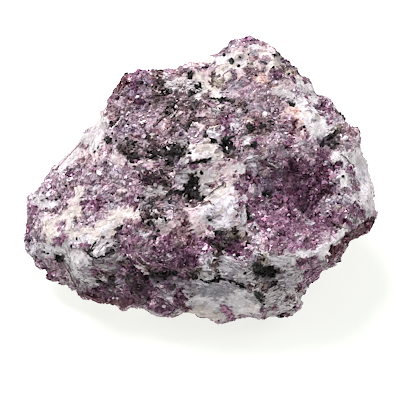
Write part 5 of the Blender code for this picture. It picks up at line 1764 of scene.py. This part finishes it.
def lay_spots(name, ground):
    """Small flat grains that lie in the surface where the picture shows them, each with its own outline."""
    chance = np.random.default_rng(SPOT_SEED)
    eye = Eye(ground)
    points = []
    colours = []
    gloss = []
    for mineral, lift, spot in spots_to_lay(chance):
        radii = SPOT_SIZE * chance.uniform(*SPOT_CORNER_SHARES, len(SPOT_CORNERS))
        middle = eye.hit(spot.across, spot.down)
        ring = []
        for corner, radius in zip(SPOT_CORNERS, radii):
            along = radius * spot.half_length * math.cos(corner)
            beside = radius * spot.half_width * math.sin(corner)
            ring.append(eye.hit(*place_in(spot, along, beside)))
        if middle is None or None in ring:
            continue
        furthest = max(np.linalg.norm(point - middle[0]) for point, _ in ring)
        if furthest > SPOT_REACH * max(spot.half_length, spot.half_width):
            continue
        normal = middle[1]
        points += [point - normal * SPOT_DEEP for point, _ in ring]
        points += [point + normal * (SPOT_HIGH + lift) for point, _ in ring]
        points.append(middle[0] + normal * (SPOT_TOP + lift))
        # The white grains among these are painted glints
        tone = MINERALS[mineral].dark if mineral == "black" else MINERALS[mineral].light
        colours.append(linear(tone) * chance.uniform(*SPOT_TONES))
        gloss.append(MINERALS[mineral].habit.gloss)
    faces = spot_faces(len(colours))
    chunk = 2 * len(SPOT_CORNERS) + 1
    return join_pieces(name, np.array(points), faces, np.array(colours), np.array(gloss), chunk)


class Graph:
    """Short names for making shader nodes."""

    def __init__(self, name):
        self.material = bpy.data.materials.new(name)
        self.material.use_nodes = True
        self.tree = self.material.node_tree
        self.shader = self.tree.nodes["Principled BSDF"]

    def put(self, socket, value):
        """Links an output to the socket, or sets a plain value on it."""
        if isinstance(value, bpy.types.NodeSocket):
            self.tree.links.new(value, socket)
        else:
            socket.default_value = value

    def shade(self, **values):
        """Sets inputs of the shader; an underscore in a name stands for a space."""
        for name, value in values.items():
            self.put(self.shader.inputs[name.replace("_", " ")], value)

    def node(self, kind, inputs=(), **settings):
        made = self.tree.nodes.new(kind)
        for key, value in settings.items():
            setattr(made, key, value)
        for key, value in dict(inputs).items():
            self.put(made.inputs[key], value)
        return made

    def attribute(self, name, output="Fac"):
        return self.node("ShaderNodeAttribute", attribute_name=name).outputs[output]

    def maths(self, operation, *values):
        return self.node("ShaderNodeMath", dict(enumerate(values)), operation=operation).outputs[0]

    def vector(self, operation, *values, output=0):
        made = self.node("ShaderNodeVectorMath", dict(enumerate(values)), operation=operation)
        return made.outputs[output]

    def scaled(self, vector, scale):
        return self.node("ShaderNodeVectorMath", {0: vector, "Scale": scale}, operation="SCALE").outputs[0]

    def cells(self, place, size):
        """A random colour for each cell of this size in mm."""
        return self.node("ShaderNodeTexVoronoi", {"Vector": place, "Scale": 1.0 / size}).outputs["Color"]

    def noise(self, place, size, detail, roughness):
        """Noise from 0 to 1 with lumps of this size in mm."""
        inputs = {"Vector": place, "Scale": 1.0 / size, "Detail": detail, "Roughness": roughness}
        return self.node("ShaderNodeTexNoise", inputs).outputs["Fac"]

    def parts(self, colour):
        return self.node("ShaderNodeSeparateColor", {"Color": colour}).outputs

    def mix(self, share, first, second):
        """The first colour, with this share of the second. Sockets 6, 7 and 2 are the ones for colours."""
        made = self.node("ShaderNodeMix", {"Factor": share, 6: first, 7: second}, data_type="RGBA")
        return made.outputs[2]

    def ranged(self, value, low, high, to_low=0.0, to_high=1.0):
        """The value brought smoothly from one range to the other."""
        inputs = {"Value": value, "From Min": low, "From Max": high, "To Min": to_low, "To Max": to_high}
        return self.node("ShaderNodeMapRange", inputs, interpolation_type="SMOOTHSTEP").outputs["Result"]

    def stepped(self, value, edge):
        """0 below the edge and 1 above it, with a soft step."""
        start = self.maths("SUBTRACT", edge, EDGE_SOFTNESS)
        end = self.maths("ADD", edge, EDGE_SOFTNESS)
        return self.ranged(value, start, end)

    def place(self):
        """The place on the stone in millimetres."""
        return self.scaled(self.node("ShaderNodeTexCoord").outputs["Object"], 1.0 / MM)


# Grains within the fine surface's own faces, which the shader draws: sizes in mm, how far they lean, and
# how far they are drawn out along streaks
COARSE_GRAIN = 0.95
FINE_GRAIN = 0.42
SPECK = 0.55
CELL_LEAN = 0.9
FINE_LEAN = 0.7
SHADER_STREAKS = -0.8
# How they share out a mineral's tones: the weight of each, what their sum is lessened by, and how soft the
# edge between two tones is
COARSE_WEIGHT = 0.70
FINE_WEIGHT = 0.66
SPECK_WEIGHT = 0.9
WEIGHTS_LESS = 0.63
EDGE_SOFTNESS = 0.06
# Their own brightness: how far it varies, and its least
BRIGHTNESS_SPAN = 0.24
COARSE_DARKEST = 0.86
FINE_DARKEST = 0.88
# Roughness of the dullest surface, and how much less it is for full gloss
DULL = 0.72
GLOSSY = -0.4
# How much the rock and its crystals bend light, and how strongly the rock shines
ROCK_IOR = 1.55
CRYSTAL_IOR = 1.56
ROCK_SHINE = 0.2
# Detail and roughness of the noise for specks and fibres, the size of fibres in mm, and the part of the
# noise that takes them from dark to light
NOISE_DETAIL = 3.0
NOISE_ROUGHNESS = 0.7
FIBRE_SIZE = 1.0 / 4.5
FIBRE_RANGE = (0.3, 0.7)


def stone_material():
    """The fine surface: every mineral's tones in grains, with faces that lean as grains do."""
    graph = Graph("lepidolite_rock")
    place = graph.place()
    streak = graph.vector("NORMALIZE", graph.attribute("streak", "Vector"))
    along = graph.vector("DOT_PRODUCT", place, streak, output="Value")
    share = graph.maths("MULTIPLY", graph.attribute("streaky"), SHADER_STREAKS)
    drawn = graph.vector("ADD", place, graph.scaled(streak, graph.maths("MULTIPLY", along, share)))
    coarse = graph.cells(drawn, COARSE_GRAIN)
    fine = graph.cells(drawn, FINE_GRAIN)
    specks = graph.noise(drawn, SPECK, NOISE_DETAIL, NOISE_ROUGHNESS)
    coarse_parts = graph.parts(coarse)
    fine_parts = graph.parts(fine)
    draw = graph.maths("MULTIPLY", coarse_parts[0], COARSE_WEIGHT)
    draw = graph.maths("MULTIPLY_ADD", fine_parts[0], FINE_WEIGHT, draw)
    draw = graph.maths("MULTIPLY_ADD", specks, SPECK_WEIGHT, draw)
    draw = graph.maths("SUBTRACT", draw, WEIGHTS_LESS)
    pale_from = graph.maths("SUBTRACT", 1.0, graph.attribute("pale_share"))
    is_light = graph.stepped(draw, graph.attribute("dark_share"))
    is_pale = graph.stepped(draw, pale_from)
    colour = graph.mix(is_light, graph.attribute("dark", "Color"), graph.attribute("light", "Color"))
    colour = graph.mix(is_pale, colour, graph.attribute("pale", "Color"))
    coarse_brightness = graph.maths("MULTIPLY_ADD", coarse_parts[1], BRIGHTNESS_SPAN, COARSE_DARKEST)
    fine_brightness = graph.maths("MULTIPLY_ADD", fine_parts[1], BRIGHTNESS_SPAN, FINE_DARKEST)
    colour = graph.scaled(colour, graph.maths("MULTIPLY", coarse_brightness, fine_brightness))
    rough = graph.maths("MULTIPLY_ADD", graph.attribute("gloss"), GLOSSY, DULL)
    grain = graph.attribute("grain")
    normal = graph.node("ShaderNodeNewGeometry").outputs["Normal"]
    for cells, most in ((coarse, CELL_LEAN), (fine, FINE_LEAN)):
        centred = graph.vector("SUBTRACT", cells, (0.5, 0.5, 0.5))
        normal = graph.vector("ADD", normal, graph.scaled(centred, graph.maths("MULTIPLY", grain, most)))
    graph.shade(Base_Color=colour, Roughness=rough, Normal=graph.vector("NORMALIZE", normal))
    graph.shade(IOR=ROCK_IOR, Specular_IOR_Level=ROCK_SHINE)
    return graph.material


def crystal_material(name, rough, shine, streaks):
    """Small crystals, each of one tone, with fine streaks in it."""
    graph = Graph(name)
    fibres = graph.noise(graph.place(), FIBRE_SIZE, NOISE_DETAIL, NOISE_ROUGHNESS)
    brightness = graph.ranged(fibres, *FIBRE_RANGE, 1.0 - streaks, 1.0 + streaks)
    colour = graph.scaled(graph.attribute("tone", "Color"), brightness)
    graph.shade(Base_Color=colour, Roughness=rough, IOR=CRYSTAL_IOR, Specular_IOR_Level=shine)
    return graph.material


# Width of the camera's sensor, and what the eye sees from nearer than this is left out, in metres
SENSOR_WIDTH = 36.0
CLIP_START = 0.01
# Strength of the light from all round, and the lamps: place, width and power. They aim at one place.
WORLD_STRENGTH = 0.33
LAMPS = {
    "window": ((-150.0, 150.0, 440.0), 300.0, 2.75),
    "left_wall": ((-320.0, -60.0, 300.0), 300.0, 0.2),
    "right_wall": ((300.0, 40.0, 300.0), 300.0, 0.3),
}
LAMP_AIM = (0.0, 0.0, 20.0)
# Half the side of the table in metres, its own colour and roughness, and the colour and strength that it
# shines with
TABLE_HALF = 4.0
TABLE_COLOUR = (0.45, 0.457, 0.435, 1.0)
TABLE_ROUGHNESS = 0.9
TABLE_GLOW = (0.975, 1.0, 0.95, 1.0)
TABLE_GLOW_STRENGTH = 0.74
SHARPENING = 0.14


def add_camera():
    """The camera at the eye's place, level, and aimed so that the picture's middle is in its middle."""
    data = bpy.data.cameras.new("camera")
    data.sensor_width = SENSOR_WIDTH
    data.lens = data.sensor_width * EYE_DISTANCE / (PICTURE_STEP * PICTURE_SIDE)
    data.clip_start = CLIP_START
    camera = bpy.data.objects.new("camera", data)
    bpy.context.scene.collection.objects.link(camera)
    below_middle = (PICTURE_SIDE / 2 - MIDDLE_SEEN[1]) * PICTURE_STEP
    aim = MIDDLE - UP * below_middle
    eye = aim + OUT * EYE_DISTANCE
    camera.location = Vector(eye * MM)
    camera.rotation_euler = (math.pi / 2 - LOOK_DOWN, 0.0, 0.0)
    bpy.context.scene.camera = camera


def add_lamp(name, place, width, power):
    """A round soft lamp."""
    data = bpy.data.lights.new(name, "AREA")
    data.shape = "DISK"
    data.size = width * MM
    data.energy = power
    lamp = bpy.data.objects.new(name, data)
    lamp.location = Vector(place) * MM
    lamp.rotation_euler = (Vector(LAMP_AIM) - Vector(place)).to_track_quat("-Z", "Y").to_euler()
    bpy.context.scene.collection.objects.link(lamp)


def add_table():
    """A wide white table that shines a little by itself."""
    mesh = bpy.data.meshes.new("table")
    side = TABLE_HALF
    corners = [(-side, -side, 0.0), (side, -side, 0.0), (side, side, 0.0), (-side, side, 0.0)]
    mesh.from_pydata(corners, [], [(0, 1, 2, 3)])
    table = bpy.data.objects.new("table", mesh)
    bpy.context.scene.collection.objects.link(table)
    graph = Graph("white_table")
    graph.shade(Base_Color=TABLE_COLOUR, Roughness=TABLE_ROUGHNESS)
    graph.shade(Emission_Color=TABLE_GLOW, Emission_Strength=TABLE_GLOW_STRENGTH)
    mesh.materials.append(graph.material)


def add_studio():
    """A white table under a wide soft light, which comes from above, behind and a little left."""
    scene = bpy.context.scene
    scene.view_settings.view_transform = "Standard"
    world = bpy.data.worlds.new("studio")
    scene.world = world
    world.use_nodes = True
    background = world.node_tree.nodes["Background"]
    background.inputs["Color"].default_value = (1.0, 1.0, 1.0, 1.0)
    background.inputs["Strength"].default_value = WORLD_STRENGTH
    for name, (place, width, power) in LAMPS.items():
        add_lamp(name, place, width, power)
    add_table()


def sharpen(amount):
    """Light sharpening, as a small camera does it."""
    scene = bpy.context.scene
    scene.use_nodes = True
    nodes = scene.node_tree.nodes
    picture = next(node for node in nodes if node.type == "R_LAYERS")
    result = next(node for node in nodes if node.type == "COMPOSITE")
    edges = nodes.new("CompositorNodeFilter")
    edges.filter_type = "SHARPEN_DIAMOND"
    edges.inputs["Fac"].default_value = amount
    scene.node_tree.links.new(picture.outputs["Image"], edges.inputs["Image"])
    scene.node_tree.links.new(edges.outputs["Image"], result.inputs["Image"])


def finish_piece(piece):
    """Says that the piece is part of the stone."""
    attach(piece, "root")


def main():
    add_camera()
    add_studio()
    sharpen(SHARPENING)
    surface, hidden = build_surface(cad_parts["lepidolite_stone"])
    surface.data.materials.append(stone_material())
    ground = Ground(surface, hidden)
    mica = crystal_material("mica", rough=0.22, shine=0.4, streaks=0.24)
    albite = crystal_material("albite", rough=0.45, shine=0.25, streaks=0.06)
    schorl = crystal_material("schorl", rough=0.3, shine=0.15, streaks=0.2)
    pieces = [(sow_flakes(name, ground, seed), mica) for name, seed in FLAKE_SEEDS.items()]
    pieces.append((sow_flakes("mica_plates", ground, PLATE_SEED, PLATES, PLATE_RADIUS, PLATE_LEAN), mica))
    pieces.append((sow_blades("albite_blades", ground, BLADE_SEED), albite))
    pieces.append((sow_splinters("schorl_splinters", ground, SPLINTER_SEED), schorl))
    # The inlaid grains include painted glints
    pieces.append((lay_spots("inlaid_grains_and_glints", ground), albite))
    for piece, material in pieces:
        piece.data.materials.append(material)
        finish_piece(piece)
    finish_piece(surface)
    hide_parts("lepidolite_stone")


main()
